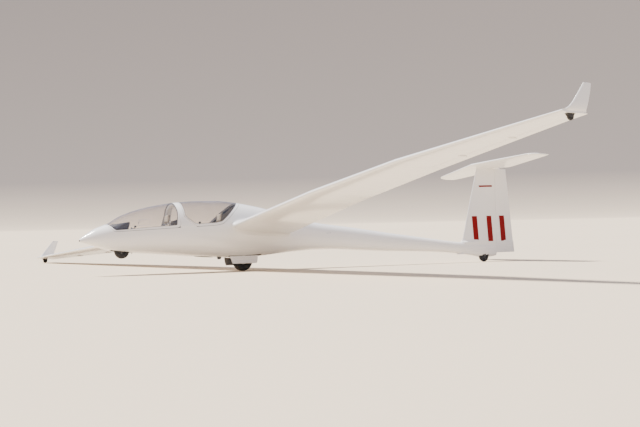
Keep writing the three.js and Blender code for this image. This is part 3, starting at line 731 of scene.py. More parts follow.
@dataclass(frozen=True)
class Metal(Finish):
    """Bare metal with fine marks and a few dull patches."""

    color: Triple = (0.60, 0.61, 0.62)
    roughness: float = 0.32
    marks: Triple = (6.0, 90.0, 90.0)

    def draw(self, shading: Shading) -> None:
        """Sets up the material's nodes."""
        lines = shading.noise(1.0, 4.0, 0.7, shading.stretched(self.marks))
        dull = shading.span(shading.noise(22.0, 4.0, 0.6), 0.45, 0.75, 0.0, 0.5)
        tone = shading.mix(dull, self.color, toned(self.color, 0.62))
        rough = shading.span(lines, 0.25, 0.75, self.roughness - 0.1, self.roughness + 0.16)
        shading.set(Base_Color=tone, Roughness=rough, Metallic=1.0,
                    Normal=shading.bump(lines, 0.15, 0.0003))


@dataclass(frozen=True)
class Painted(Finish):
    """Paint over metal, chipped in places and a little dusty."""

    color: Triple = (0.42, 0.43, 0.44)
    chip: Triple = (0.16, 0.15, 0.14)
    dust: Triple = (0.50, 0.42, 0.33)

    def draw(self, shading: Shading) -> None:
        """Sets up the material's nodes."""
        chips = shading.span(shading.noise(55.0, 6.0, 0.75), 0.66, 0.70, 0.0, 0.85)
        dusty = shading.span(shading.noise(7.0, 5.0, 0.7), 0.4, 0.75, 0.08, 0.5)
        tone = shading.mix(chips, shading.mix(dusty, self.color, self.dust), self.chip)
        rough = shading.span(dusty, 0.0, 0.5, 0.35, 0.72)
        bump = shading.bump(chips, 0.3, 0.0004, shading.bump(shading.noise(300.0, 2.0), 0.1, 0.0004))
        shading.set(Base_Color=tone, Roughness=rough, Normal=bump)


@dataclass(frozen=True)
class TyreRubber(Finish):
    """Black rubber, greyed by dust that is thickest near the tread."""

    centre: Triple
    axle: Triple
    tread: float
    color: Triple = (0.018, 0.018, 0.019)
    dust: Triple = (0.34, 0.28, 0.22)

    def draw(self, shading: Shading) -> None:
        """Sets up the material's nodes."""
        arm = shading.node("VectorMath", {0: shading.place, 1: self.centre}, operation="SUBTRACT")
        across = shading.node("VectorMath", {0: arm.outputs[0], 1: self.axle}, operation="CROSS_PRODUCT")
        radius = shading.node("VectorMath", {0: across.outputs[0]}, operation="LENGTH").outputs["Value"]
        outer = shading.span(radius, 0.90 * self.tread, self.tread, 0.02, 0.22)
        clouds = shading.span(shading.noise(26.0, 6.0, 0.7), 0.35, 0.75)
        dusty = shading.math("MULTIPLY", outer, clouds)
        rough = shading.span(shading.noise(80.0, 3.0), 0.3, 0.7, 0.62, 0.88)
        bump = shading.bump(shading.noise(240.0, 4.0, 0.7), 0.3, 0.0008)
        shading.set(Base_Color=shading.mix(dusty, self.color, self.dust), Roughness=rough, Normal=bump)


@dataclass(frozen=True)
class Acrylic(Finish):
    """Thin clear acrylic: it mirrors more at a glancing angle, and has a faint haze; what shows through it
    turns dark lavender at a glancing angle, a painted reflection.
    """

    tint: Triple = (0.93, 0.915, 0.905)
    # The colour that what shows through takes at a glancing angle: a painted reflection of the sky
    edge_tint: Triple = (0.50, 0.49, 0.56)
    mirror: Triple = (0.86, 0.85, 0.90)
    head_on: float = 0.035
    glancing: float = 0.5

    def draw(self, shading: Shading) -> None:
        """Sets up the material's nodes."""
        haze = shading.span(shading.noise(5.0, 5.0, 0.7), 0.35, 0.8, 0.0, 0.03)
        facing = shading.node("LayerWeight", {"Blend": 0.5}).outputs["Facing"]
        rising = shading.math("MULTIPLY", shading.math("POWER", facing, 5.0), self.glancing)
        shine = shading.math("ADD", shading.math("ADD", rising, self.head_on), haze)
        scratches = shading.noise(1.0, 5.0, 0.8, shading.stretched((60.0, 300.0, 300.0)))
        shading.set(Base_Color=self.mirror, Roughness=shading.span(scratches, 0.4, 0.8, 0.03, 0.10),
                    Metallic=0.6, Specular_IOR_Level=0.5)
        # Darkens what shows through towards lavender at a glancing angle, as a painted reflection
        tint_and_painted_reflection = shading.mix(shading.math("POWER", facing, 3.0), self.tint, self.edge_tint)
        clear = shading.node("BsdfTransparent", {"Color": tint_and_painted_reflection})
        mixed = shading.node("MixShader", {0: shine, 1: clear.outputs[0], 2: shading.shader.outputs[0]})
        shading.links.new(mixed.outputs[0], shading.nodes["Material Output"].inputs["Surface"])


@dataclass(frozen=True)
class Film(Finish):
    """Coloured film on the gelcoat, sun-faded in soft patches."""

    color: Triple = (0.17, 0.0015, 0.003)

    def draw(self, shading: Shading) -> None:
        """Sets up the material's nodes."""
        faded = shading.span(shading.noise(9.0, 4.0), 0.35, 0.75, 0.0, 0.4)
        tone = shading.mix(faded, self.color, toned(self.color, 1.25))
        shading.set(Base_Color=tone, Roughness=shading.span(shading.noise(70.0, 3.0), 0.3, 0.7, 0.4, 0.6),
                    Specular_IOR_Level=0.15)


@dataclass(frozen=True)
class Ground(Finish):
    """Pale warm concrete, which throws a warm light up at the belly and the wings, and a dim backdrop."""

    color: Triple = (0.66, 0.545, 0.405)
    far: Triple = (0.150, 0.125, 0.112)
    pale_to: float = 108.0
    far_from: float = 138.0

    def draw(self, shading: Shading) -> None:
        """Sets up the material's nodes."""
        broad = shading.span(shading.noise(0.09, 4.0), 0.3, 0.7, 0.0, 0.5)
        tone = shading.mix(broad, self.color, toned(self.color, 0.93))
        grain = shading.span(shading.noise(9.0, 6.0, 0.75), 0.3, 0.8, 0.0, 0.35)
        tone = shading.mix(grain, tone, toned(self.color, 0.90))
        distance = shading.node("VectorMath", {0: shading.place}, operation="LENGTH").outputs["Value"]
        tone = shading.mix(shading.span(distance, self.pale_to, self.far_from), tone, self.far)
        shading.set(Base_Color=tone, Roughness=0.85,
                    Normal=shading.bump(shading.noise(30.0, 5.0), 0.1, 0.004))


WHITE = Gelcoat("white_gelcoat")
CABIN = Flecked("cabin_paint")
# Dark grey for the faces inside the wheel wells, the airbrake's slot and holes, the tip wheel's pocket and
# the gear doors' inner faces: painted shade in these recesses
WELL_PAINTED_SHADE = Moulded("well_paint", (0.24, 0.235, 0.23), 0.6, 300.0)
SLATE = Leathery("slate_leathercloth", (0.030, 0.033, 0.050))
BLACK = Moulded("black_plastic", (0.016, 0.016, 0.018), 0.45)
SEAL = Moulded("seal_rubber", (0.010, 0.010, 0.011), 0.75, 400.0, 0.0005, 0.1)
CLOTH = Woven("seat_cloth")
WEBBING = Woven("harness_webbing", (0.055, 0.065, 0.11), 900.0, 0.2, 0.15)
CLEAR = Acrylic("clear_acrylic")
CLEAR_EDGE = Acrylic("edge_acrylic", head_on=0.25)
ALLOY = Metal("cast_alloy", (0.58, 0.59, 0.60), 0.36, (40.0, 40.0, 40.0))
DARK_ALLOY = Metal("dark_alloy", (0.10, 0.10, 0.105), 0.5, (40.0, 40.0, 40.0))
STEEL = Painted("painted_steel")
BRIGHT = Metal("bright_steel", (0.66, 0.66, 0.67), 0.22)
MARK = Film("red_film")
AMBER = Film("yellow_film", (0.75, 0.50, 0.03))
AZURE = Film("blue_grip", (0.02, 0.10, 0.42))
PALE = Moulded("dial_white", (0.75, 0.75, 0.72), 0.5, 900.0, 0.0001, 0.05)


AXLE = tuple(joint_named("main_wheel_spin")["axis"])


def rounded(outline: Sequence[Pair], radius: float, steps: int = 8) -> list[Pair]:
    """An outline with its corners turned into curves.

    Args:
        outline: the corners.
        radius: the size of the curves; a corner with short edges takes a smaller one.
        steps: the number of edges in each curve.

    Returns:
        The new outline.
    """
    points = [Vector(p) for p in outline]
    result = []
    for i, corner in enumerate(points):
        before, after = points[i - 1] - corner, points[(i + 1) % len(points)] - corner
        half = before.angle(after) / 2
        reach = min(radius / math.tan(half), 0.48 * before.length, 0.48 * after.length)
        start, end = corner + before.normalized() * reach, corner + after.normalized() * reach
        for k in range(steps + 1):
            t = k / steps
            result.append(tuple(start * (1 - t) ** 2 + corner * (2 * t * (1 - t)) + end * t * t))
    return result


def inset(outline: Sequence[Pair], distance: float) -> list[Pair]:
    """Moves each edge of an outline inwards.

    Args:
        outline: the corners.
        distance: how far; a negative one moves them outwards.

    Returns:
        The new outline.
    """
    points = [Vector(p) for p in outline]
    area = sum(a.x * b.y - b.x * a.y for a, b in zip(points, points[1:] + points[:1]))
    turn = math.copysign(1.0, area)
    edges = []
    for a, b in zip(points, points[1:] + points[:1]):
        run = (b - a).normalized()
        edges.append((a + Vector((-run.y, run.x)) * (turn * distance), run))
    result = []
    for (p, u), (q, v) in zip(edges[-1:] + edges[:-1], edges):
        across = u.x * v.y - u.y * v.x
        if abs(across) < 1e-6:
            result.append(tuple(q))
            continue
        t = ((q.x - p.x) * v.y - (q.y - p.y) * v.x) / across
        result.append(tuple(p + u * t))
    return result


def steps_between(low: float, high: float, step: float) -> list[float]:
    """Even steps from one value to another, each about as long as asked."""
    count = max(1, round(abs(high - low) / step))
    return [low + (high - low) * i / count for i in range(count + 1)]


class Body:
    """The fuselage's outer shape."""

    TABLE = (
        # x, top, bottom, half width, height of the greatest width
        (-2948, 627, 583, 20, 605), (-2900, 664, 566, 50, 612), (-2809, 721, 540, 96, 625),
        (-2683, 792, 500, 148, 640), (-2446, 877, 428, 214, 668), (-2203, 1002, 392, 262, 690),
        (-1927, 1092, 368, 308, 706), (-1650, 1150, 347, 340, 716), (-1242, 1204, 314, 362, 728),
        (-813, 1227, 277, 365, 740), (-450, 1224, 252, 357, 752), (-229, 1203, 242, 347, 756),
        (-28, 1172, 240, 334, 755), (224, 1125, 248, 314, 745), (452, 1074, 262, 290, 730),
        (738, 1000, 286, 252, 700), (1133, 888, 316, 203, 640), (1414, 813, 330, 170, 598),
        (1733, 764, 328, 146, 560), (2200, 700, 300, 130, 508), (2779, 610, 264, 113, 440),
        (3816, 461, 218, 82, 338), (4346, 388, 172, 65, 275), (4700, 360, 122, 52, 232),
        (4860, 350, 92, 46, 215), (5030, 345, 88, 36, 205), (5236, 335, 112, 22, 210),
    )
    COURSE = Course(TABLE)
    UPPER_POWER = 2 / 2.15
    LOWER_POWER = 2 / 2.35
    AROUND = 96
    STEP = 40.0
    END = TABLE[-1][0]

    @classmethod
    def ring(cls, x: float, inwards: float = 0.0, around: int = AROUND) -> list[Triple]:
        """The cross-section at a place.

        Args:
            x: the place.
            inwards: how far the section is drawn in.
            around: the number of points.

        Returns:
            The points, from starboard over the top.
        """
        top, bottom, half, waist = cls.COURSE(x) + np.array((-inwards, inwards, -inwards, 0.0))
        points = []
        for i in range(around):
            angle = 2 * math.pi * i / around
            c, s = math.cos(angle), math.sin(angle)
            power = cls.UPPER_POWER if s > 0 else cls.LOWER_POWER
            rise = top - waist if s > 0 else waist - bottom
            points.append((x, half * math.copysign(abs(c) ** power, c),
                           waist + rise * math.copysign(abs(s) ** power, s)))
        return points

    @classmethod
    def half_width(cls, x: float, z: float) -> float:
        """The half width at a place and height, or 0 above and below the section."""
        top, bottom, half, waist = cls.COURSE(x)
        power, rise = (cls.UPPER_POWER, top - waist) if z > waist else (cls.LOWER_POWER, waist - bottom)
        share = min(1.0, abs(z - waist) / rise)
        return half * max(0.0, 1 - share ** (2 / power)) ** (power / 2)

    @classmethod
    def loft(cls, start: float, end: float, inwards: float = 0.0, slot: int = 0,
             step: float = STEP) -> Form:
        """A stretch of the fuselage as a solid."""
        return Form.loft([cls.ring(x, inwards) for x in steps_between(start, end, step)], slot)

    @classmethod
    def skin(cls, start: float, end: float, outer: float, inner: float, slot: int = 0,
             step: float = STEP) -> Form:
        """The hollow skin between two depths below the fuselage's surface."""
        core = cls.loft(start - 10, end + 10, inner, slot, step)
        return cls.loft(start, end, outer, slot, step).cut(core)


class Airfoil:
    """The wing section, and rings of it."""

    SHARES = tuple(0.5 * (1 - math.cos(math.pi * i / 36)) for i in range(37))

    @staticmethod
    def shape(share: float, thickness: float) -> Pair:
        """Half thickness and camber at a share of the chord, as shares of the chord."""
        half = 5 * thickness * (0.2969 * math.sqrt(share) - 0.126 * share - 0.3516 * share ** 2
                                + 0.2843 * share ** 3 - 0.1036 * share ** 4) + 0.0022 * share
        camber = 0.105 * share * (1 - share) * (1 - 0.25 * share)
        return half, camber

    @classmethod
    def ring(cls, leading: Vector, chord: float, thickness: float, along: Vector, up: Vector,
             camber_share: float = 1.0, shares: Sequence[float] = SHARES) -> list[Vector]:
        """The section's outline: from the trailing edge over the top and back below.

        Args:
            leading: the leading edge.
            chord: the chord.
            thickness: the thickness as a share of the chord.
            along: the direction from leading to trailing edge.
            up: the direction of the upper side.
            camber_share: how much of the wing's camber it has.
            shares: the places along the chord.

        Returns:
            The points.
        """
        def at(share: float, sign: int) -> Vector:
            """A point of the upper (1) or lower (-1) side."""
            half, camber = cls.shape(share, thickness)
            return leading + along * (chord * share) + up * (chord * (camber * camber_share + sign * half))
        return [at(s, 1) for s in reversed(shares)] + [at(s, -1) for s in shares[1:]]


def outward(ring: Sequence[Vector]) -> list[Vector]:
    """The direction out of a section at each of its points.

    Args:
        ring: the section's outline, in a plane of X and Z.

    Returns:
        The directions.
    """
    centre = sum(ring, Vector()) / len(ring)
    result = []
    for i, p in enumerate(ring):
        ahead = (ring[(i + 1) % len(ring)] - ring[i - 1]).normalized()
        normal = Vector((-ahead.z, 0, ahead.x))
        result.append(normal * math.copysign(1.0, normal.dot(p - centre)))
    return result


@dataclass
class WingShape:
    """One wing's outer shape. Each panel is straight between its stations."""

    side: Side
    root: float = 400.0
    reference: float = 360.0
    tip: float = 9993.0
    split: float = 5850.0
    leading_x: float = -297.0
    leading_height: float = 753.0
    dihedral: float = 0.074
    incidence: float = 0.132
    chords: tuple = (
        # y, chord, thickness as a share of the chord, bow of the leading edge
        (150, 1136, 0.160, 0), (360, 1122, 0.158, 0), (3200, 990, 0.152, -2), (5850, 838, 0.145, 15),
        (8550, 540, 0.138, 55), (9560, 430, 0.130, 75), (9993, 395, 0.120, 85),
    )

    def __post_init__(self) -> None:
        """Works out the directions and the table of heights."""
        pitch = math.atan(self.incidence)
        self.along = Vector((math.cos(pitch), 0, -math.sin(pitch)))
        self.up = Vector((math.sin(pitch), 0, math.cos(pitch)))
        droop = 410.0 if self.side is Side.PORT else 186.6
        knots = (self.chords[0][0], self.reference, 3200.0, self.split, self.tip)
        self.heights = []
        for y in knots:
            share = max(0.0, (y - self.reference) / (self.tip - self.reference))
            rise = self.dihedral * (y - self.reference)
            self.heights.append((y, self.leading_height + rise - droop * share ** 2))

    def station(self, y: float) -> tuple[Vector, float, float]:
        """The section's leading edge, chord and thickness at a distance from the middle."""
        chord, thickness, bow = straight(self.chords, y)
        height = float(straight(self.heights, y)[0])
        return Vector((self.leading_x + bow, self.side.value * y, height)), float(chord), float(thickness)

    def ring(self, y: float) -> list[Vector]:
        """The section's outline at a distance from the middle."""
        leading, chord, thickness = self.station(y)
        return Airfoil.ring(leading, chord, thickness, self.along, self.up)

    def loft(self, start: float, end: float, step: float = 250.0) -> Form:
        """A stretch of the wing as a solid, with a ring at each station on the way."""
        knots = [start] + [row[0] for row in self.chords if start + 1 < row[0] < end - 1] + [end]
        places = [start]
        for low, high in zip(knots, knots[1:]):
            places += steps_between(low, high, step)[1:]
        return Form.loft([self.ring(y) for y in places])

    def middle(self, y: float, share: float) -> tuple[Vector, float]:
        """The section's mean line at a share of the chord, and its half thickness there."""
        leading, chord, thickness = self.station(y)
        half, camber = Airfoil.shape(share, thickness)
        return leading + self.along * (chord * share) + self.up * (chord * camber), half * chord

    def surface(self, y: float, share: float, sign: int, lift: float = 0.0) -> Vector:
        """A point on the upper (1) or lower (-1) skin, lifted off it a little."""
        point, half = self.middle(y, share)
        return point + self.up * (sign * (half + lift))


@dataclass
class Hinged:
    """A control surface split off at its hinge, with a round nose in a round seat."""

    start: Vector
    end: Vector
    half_start: float
    half_end: float
    nose: float = 0.93
    room: float = 5.2
    end_room: float = 7.0
    reach: float = 400.0

    def roll(self, gap: float, beyond: float) -> Form:
        """A tapered round bar along the hinge line."""
        run = (self.end - self.start).normalized()
        path = [self.start - run * beyond, self.end + run * beyond]
        radii = [self.half_start * self.nose + gap, self.half_end * self.nose + gap]
        return Form.rod(path, radii, 40)

    def behind(self, across: int, up: int, tail: float, gap: float) -> Form:
        """The room behind the hinge line.

        Args:
            across: the coordinate that runs along the hinge, 1 for Y or 2 for Z.
            up: the other one.
            tail: how far aft the room reaches.
            gap: how much longer it is than the surface at each end.

        Returns:
            The room as a solid.
        """
        slope = (self.end.x - self.start.x) / (self.end[across] - self.start[across])
        outwards = math.copysign(1.0, self.end[across] - self.start[across])
        low, high = self.start[across] - gap * outwards, self.end[across] + gap * outwards

        def x_at(place: float) -> float:
            """Where the hinge line runs."""
            return self.start.x + slope * (place - self.start[across])

        outline = [(x_at(low), low), (tail, low), (tail, high), (x_at(high), high)]
        heights = (self.start[up], self.end[up])
        return Form.prism(outline, min(heights) - self.reach, max(heights) + self.reach, "xyz"[up])

    def split(self, whole: Form, across: int, up: int, tail: float) -> tuple[Form, Form]:
        """Splits a solid."""
        moving = whole.keep(self.behind(across, up, tail, 0.0)).join(self.roll(0.0, 0.0).keep(whole))
        room = self.behind(across, up, tail, self.end_room)
        return moving, whole.cut(room, self.roll(self.room, self.end_room))


@dataclass
class Openings:
    """The side-view outlines of the canopies and what they close."""

    front: tuple = ((-2606, 985), (-2400, 716), (-2250, 718), (-1817, 727), (-1265, 744), (-1265, 1400),
                    (-2606, 1400))
    rear: tuple = ((-1172, 1400), (-1172, 930), (-1015, 800), (-950, 754), (-600, 769), (-470, 795),
                   (-354, 885), (10, 1207), (10, 1400))
    front_window: tuple = ((-2576, 985), (-2387, 740), (-2174, 745), (-1818, 764), (-1325, 784), (-1318, 850),
                           (-1281, 1010), (-1281, 1400), (-2576, 1400))
    rear_window: tuple = ((-1158, 1400), (-1158, 938), (-1010, 817), (-938, 797), (-607, 811), (-488, 834),
                          (-382, 916), (-32, 1226), (-32, 1400))
    whole: tuple = ((-2606, 985), (-2400, 716), (-2250, 718), (-1817, 727), (-950, 754), (-600, 769),
                    (-470, 795), (-354, 885), (10, 1207), (10, 1400), (-2606, 1400))
    gap: float = 5.6
    corner: float = 70.0
    reach: float = 600.0

    def prism(self, outline: Sequence[Pair], inwards: float = 0.0, slot: int = 0) -> Form:
        """An outline with round corners, pulled right across the aircraft."""
        return Form.prism(rounded(inset(outline, inwards), self.corner), -self.reach, self.reach, "y", slot)


@dataclass
class FinShape:
    """The fin and rudder's outer shape."""

    foot: float = 166.0
    head: float = 1722.0
    top: float = 1800.0
    spread: float = 70.0
    # A height on the boom, and the thickness at the hinge as a share of the greatest
    waist: float = 300.0
    fullness: float = 0.82
    table: tuple = (
        # z, leading edge, hinge, trailing edge, thickness at the hinge
        (150, 4400, 5240, 5623, 46), (479, 4530, 5262, 5614, 46), (1060, 4716, 5298, 5602, 42),
        (1800, 4962, 5345, 5584, 36),
    )

    def ring(self, z: float) -> list[Vector]:
        """The section at a height, spread a little where it stands on the boom."""
        leading, _, trailing, width = straight(self.table, z)
        chord = trailing - leading
        ring = Airfoil.ring(Vector((leading, 0, z)), chord, width / chord / self.fullness, Vector((1, 0, 0)),
                            Vector((0, 1, 0)), 0.0)
        result = []
        for p in ring:
            x = min(p.x, Body.END)
            above = z - float(Body.COURSE(x)[0])
            near = max(0.0, min(1.0, 1 - above / self.spread))
            swell = self.spread * (1 - math.sqrt(1 - near ** 2)) * 0.6
            room = max(0.0, Body.half_width(x, self.waist) - abs(p.y) - 2)
            ahead = max(0.0, 1 - (p.x - leading) / 60)
            result.append(p + Vector((-swell * ahead, math.copysign(min(swell, room), p.y) * (1 - ahead), 0)))
        return result

    def loft(self, start: float, end: float) -> Form:
        """The fin between two heights as a solid."""
        low, high = self.table[1][0], self.table[2][0]
        places = [*steps_between(start, low, 14), *steps_between(low, high, 80)[1:],
                  *steps_between(high, end, 80)[1:]]
        return Form.loft([self.ring(z) for z in places])

    def hinged(self) -> Hinged:
        """The rudder's hinge."""
        low, high = straight(self.table, self.foot), straight(self.table, self.head)
        start, end = Vector((low[1], 0, self.foot)), Vector((high[1], 0, self.head))
        return Hinged(start, end, low[3] / 2, high[3] / 2)

    def half(self, x: float, z: float) -> float:
        """The half thickness at a place on the fin."""
        leading, _, trailing, width = straight(self.table, z)
        chord = trailing - leading
        return Airfoil.shape((x - leading) / chord, width / chord / self.fullness)[0] * chord


@dataclass
class TailplaneShape:
    """The tailplane and elevator's outer shape."""

    leading_height: float = 1808.0
    pitch: float = 0.085
    table: tuple = (
        # y, leading edge, trailing edge, thickness as a share of the chord
        (0, 4824, 5590, 0.115), (300, 4872, 5580, 0.115), (1430, 5062, 5492, 0.11),
        (1560, 5130, 5475, 0.10), (1620, 5240, 5462, 0.09),
    )
    touch: float = 0.3

    def height_at(self, x: float) -> float:
        """The height of the mean line."""
        return self.leading_height - self.pitch * (x - self.table[0][1])

    def loft(self) -> Form:
        """The tailplane and the elevator as one solid."""
        angle = math.atan(self.pitch)
        along = Vector((math.cos(angle), 0, -math.sin(angle)))
        up = Vector((math.sin(angle), 0, math.cos(angle)))
        inner, curved, end = (self.table[i][0] for i in (1, 2, 4))
        half = [*steps_between(0, inner, 60), *steps_between(inner, curved, 120)[1:],
                *steps_between(curved, end, 19)[1:]]
        course = Course(self.table)
        rings = []
        for y in [-place for place in reversed(half)] + half[1:]:
            read = course(abs(y)) if abs(y) > curved else straight(self.table, abs(y))
            leading, trailing, thickness = (float(v) for v in read)
            rings.append(Airfoil.ring(Vector((leading, y, self.height_at(leading))),
                                      (trailing - leading) / math.cos(angle), thickness, along, up, 0.0))
        return Form.loft(rings)

    def above(self) -> tuple[Form, Form]:
        """The room that the fin leaves to the tailplane: its lower skin, and all above its mean line."""
        start, end = 4700.0, AFT
        outline = [(start, self.height_at(start)), (end, self.height_at(end)), (end, 2000), (start, 2000)]
        return self.loft().moved(Matrix.Translation((0, 0, -self.touch))), Form.prism(outline, -80, 80)


@dataclass
class Fuselage:
    """The nose, the cockpit shell, the boom with its fin, and what is fixed to them."""

    openings: Openings = field(default_factory=Openings)
    nose: float = -2953.0
    split: float = 1000.0
    skin: float = 22.0
    cockpit: tuple = ((-2545, 300), (-2545, 1300), (60, 1300), (-330, 420), (-420, 200))
    hoop: tuple = ((-1259.4, 1400), (-1259.4, 600), (-959, 600), (-959, 742), (-1025, 788), (-1183, 919),
                   (-1183, 1400))
    hoop_depth: float = 45.0
    inlet_radius: float = 13.0
    inlet_height: float = 604.0
    fillet: float = 75.0
    finishes: tuple = (WHITE, CABIN, WELL_PAINTED_SHADE, BLACK)
    # Where the sloping bulkhead behind the rear seat faces; its faces are finished black
    bulkhead: Triple = (-880, 0, 390)
    main_well: tuple = ((-300, 100), (330, 100), (330, 520), (-300, 520))
    tail_well: tuple = ((4830, 40), (5047, 40), (5047, 130), (5005, 216), (4830, 216))

    def stub(self, wing: WingShape) -> Form:
        """The wing's root on the fuselage, with a fillet where it meets the side.

        Args:
            wing: the wing's shape.

        Returns:
            The solid.
        """
        base = wing.ring(wing.root)
        rings = [base]
        for share in (0.12, 0.25, 0.38, 0.5, 0.6, 0.7, 0.79, 0.87, 0.94, 1.0):
            ring = []
            for p, out in zip(base, outward(base)):
                side = Body.half_width(p.x, p.z) - 4
                span = min(self.fillet, wing.root - side)
                swell = span * (1 - math.sqrt(max(0.0, 1 - share ** 2)))
                y = wing.root - (wing.root - side - span) * min(1.0, share * 2) - span * share
                sideways = Vector((0, wing.side.value * (y - wing.root), 0))
                ring.append(p + out * min(swell, 0.75 * self.fillet) + sideways)
            rings.append(ring)
        rings.append([Vector((p.x, wing.side.value * 150, p.z)) for p in rings[-1]])
        return Form.loft(rings)

    def shell(self) -> Piece:
        """Builds the shell round the cockpits."""
        outer = Body.loft(self.nose, self.split)
        form = outer.join(*(self.stub(WingShape(side)) for side in Side))
        cavity = Body.loft(-2760, 400, self.skin, 1).keep(Form.prism(self.cockpit, -500, 500, "y", 1))
        form = form.cut(cavity)
        # The wheel wells take finish 2, dark grey as painted shade in the recesses
        main_well = Form.prism(rounded(self.main_well, 60), -112, 112, "y", 2)
        nose_box = Form.box((-2445, -76, 300), (-2065, 76, 585), 1).keep(Body.loft(-2600, -2000, 12.0, 1))
        nose_well = Form.box((-2430, -62, 200), (-2080, 62, 570), 2)
        # The inlet's bore takes finish 3, black as painted shade in the hole
        inlet = Form.rod([(x, 0, self.inlet_height) for x in (-2970, -2905)], self.inlet_radius, 32, 3)
        opening = self.openings.prism(self.openings.whole, -self.openings.gap)
        form = form.cut(opening).join(nose_box).cut(main_well, nose_well, inlet)
        slope = Vector(self.bulkhead).normalized()
        form.finish_where(3, lambda face: face.material_index == 1 and face.normal.dot(slope) > 0.97)
        return form.piece("fuselage_shell_skin", "airframe", self.finishes, "gelcoat",
                          ("fuselage_nose", "fuselage_shell", "fuselage_waist", "fuselage_centre"),
                          like=outer)

    def boom(self) -> Piece:
        """Builds the boom and the fin as one skin."""
        outer = Body.loft(self.split + 0.3, Body.END)
        fin = FinShape()
        hinge, whole = fin.hinged(), fin.loft(fin.foot - 16, fin.top)
        joined = outer.join(whole)
        room = hinge.behind(2, 1, AFT, fin.top - fin.head)
        well = Form.prism(rounded(self.tail_well, 14), -31, 31)
        well = well.join(Form.box((4900, -36, 40), (4975, 36, 216)))
        form = joined.cut(hinge.roll(hinge.room, 60.0), room, well, *TailplaneShape().above())
        return form.piece("tail_boom_skin", "airframe", self.finishes, "gelcoat", ("tail_boom",), like=joined)

    def hoop_arch(self) -> Piece:
        """Builds the arch between the canopies, which also carries the rear panel."""
        skin = Body.skin(-1300, -900, 0.0, self.hoop_depth, step=20)
        sill = self.openings.prism(self.openings.whole, -(self.openings.gap - 0.3))
        form = skin.keep(Form.prism(rounded(self.hoop, 14), -600, 600), sill)
        form.triangulated().softened(4, 2, 50)
        return form.piece("canopy_hoop_arch", "airframe", self.finishes, "gelcoat", ("canopy_hoop",))

    def ledge(self) -> Piece:
        """Builds the ledge inside the opening, which the canopies close on."""
        ring = Body.skin(-2640, 60, 25.0, 31.0, 1, 30)
        outer = self.openings.prism(self.openings.whole, -16.0)
        inner = self.openings.prism(self.openings.whole, 16.0)
        arch = Form.box((-1262, -500, 500), (-955, 500, 1400))
        form = ring.keep(outer).cut(inner, arch)
        return form.piece("canopy_ledge", "airframe", (BLACK, SEAL), "black")

    def fittings(self) -> list[Piece]:
        """Builds the small fixed pieces on the skin."""
        lip = [(self.inlet_radius + 3.2 + 3.2 * math.cos(a), 3.2 * math.sin(a))
               for a in (2 * math.pi * i / 12 for i in range(12))]
        inlet = Form.lathe(lip, 40, (self.nose + 1.5, 0, self.inlet_height), (1, 0, 0))
        pieces = [inlet.piece("nose_inlet_lip", "airframe", (SEAL,), "black")]
        band = Body.skin(self.split - 6, self.split + 6, -0.8, 1.0, step=3)
        pieces.append(band.piece("boom_joint_tape", "airframe", (WHITE,), "gelcoat"))
        button = [(0, 0), (7, 0), (7, 2.2), (2, 2.4), (2, 1), (0, 1)]
        ports = []
        for x in (1620, 1655, 1690):
            for side in Side:
                y = side.value * (Body.half_width(x, 600) - 1.5)
                ports.append(Form.disc((x, y, 600), (0, side.value, 0), button, 24))
        pieces.append(Form.group(ports).piece("static_ports", "airframe", (BRIGHT,), "steel"))
        return pieces

    def belly(self) -> Piece:
        """Builds the strip that saves the belly from rubbing."""
        path = [(x, 0, float(Body.COURSE(x)[1]) - 2) for x in steps_between(-900, -560, 20)]
        widths = [26 * math.sin(math.pi * (i + 0.5) / len(path)) ** 0.4 for i in range(len(path))]
        return Form.rod(path, widths, 16, 0, 0.25).piece("belly_rub_strip", "airframe", (SEAL,), "black")

    def build(self) -> list[Piece]:
        """Builds everything that is fixed to the fuselage."""
        return [self.shell(), self.boom(), self.hoop_arch(), self.ledge(), *self.fittings(), self.belly()]


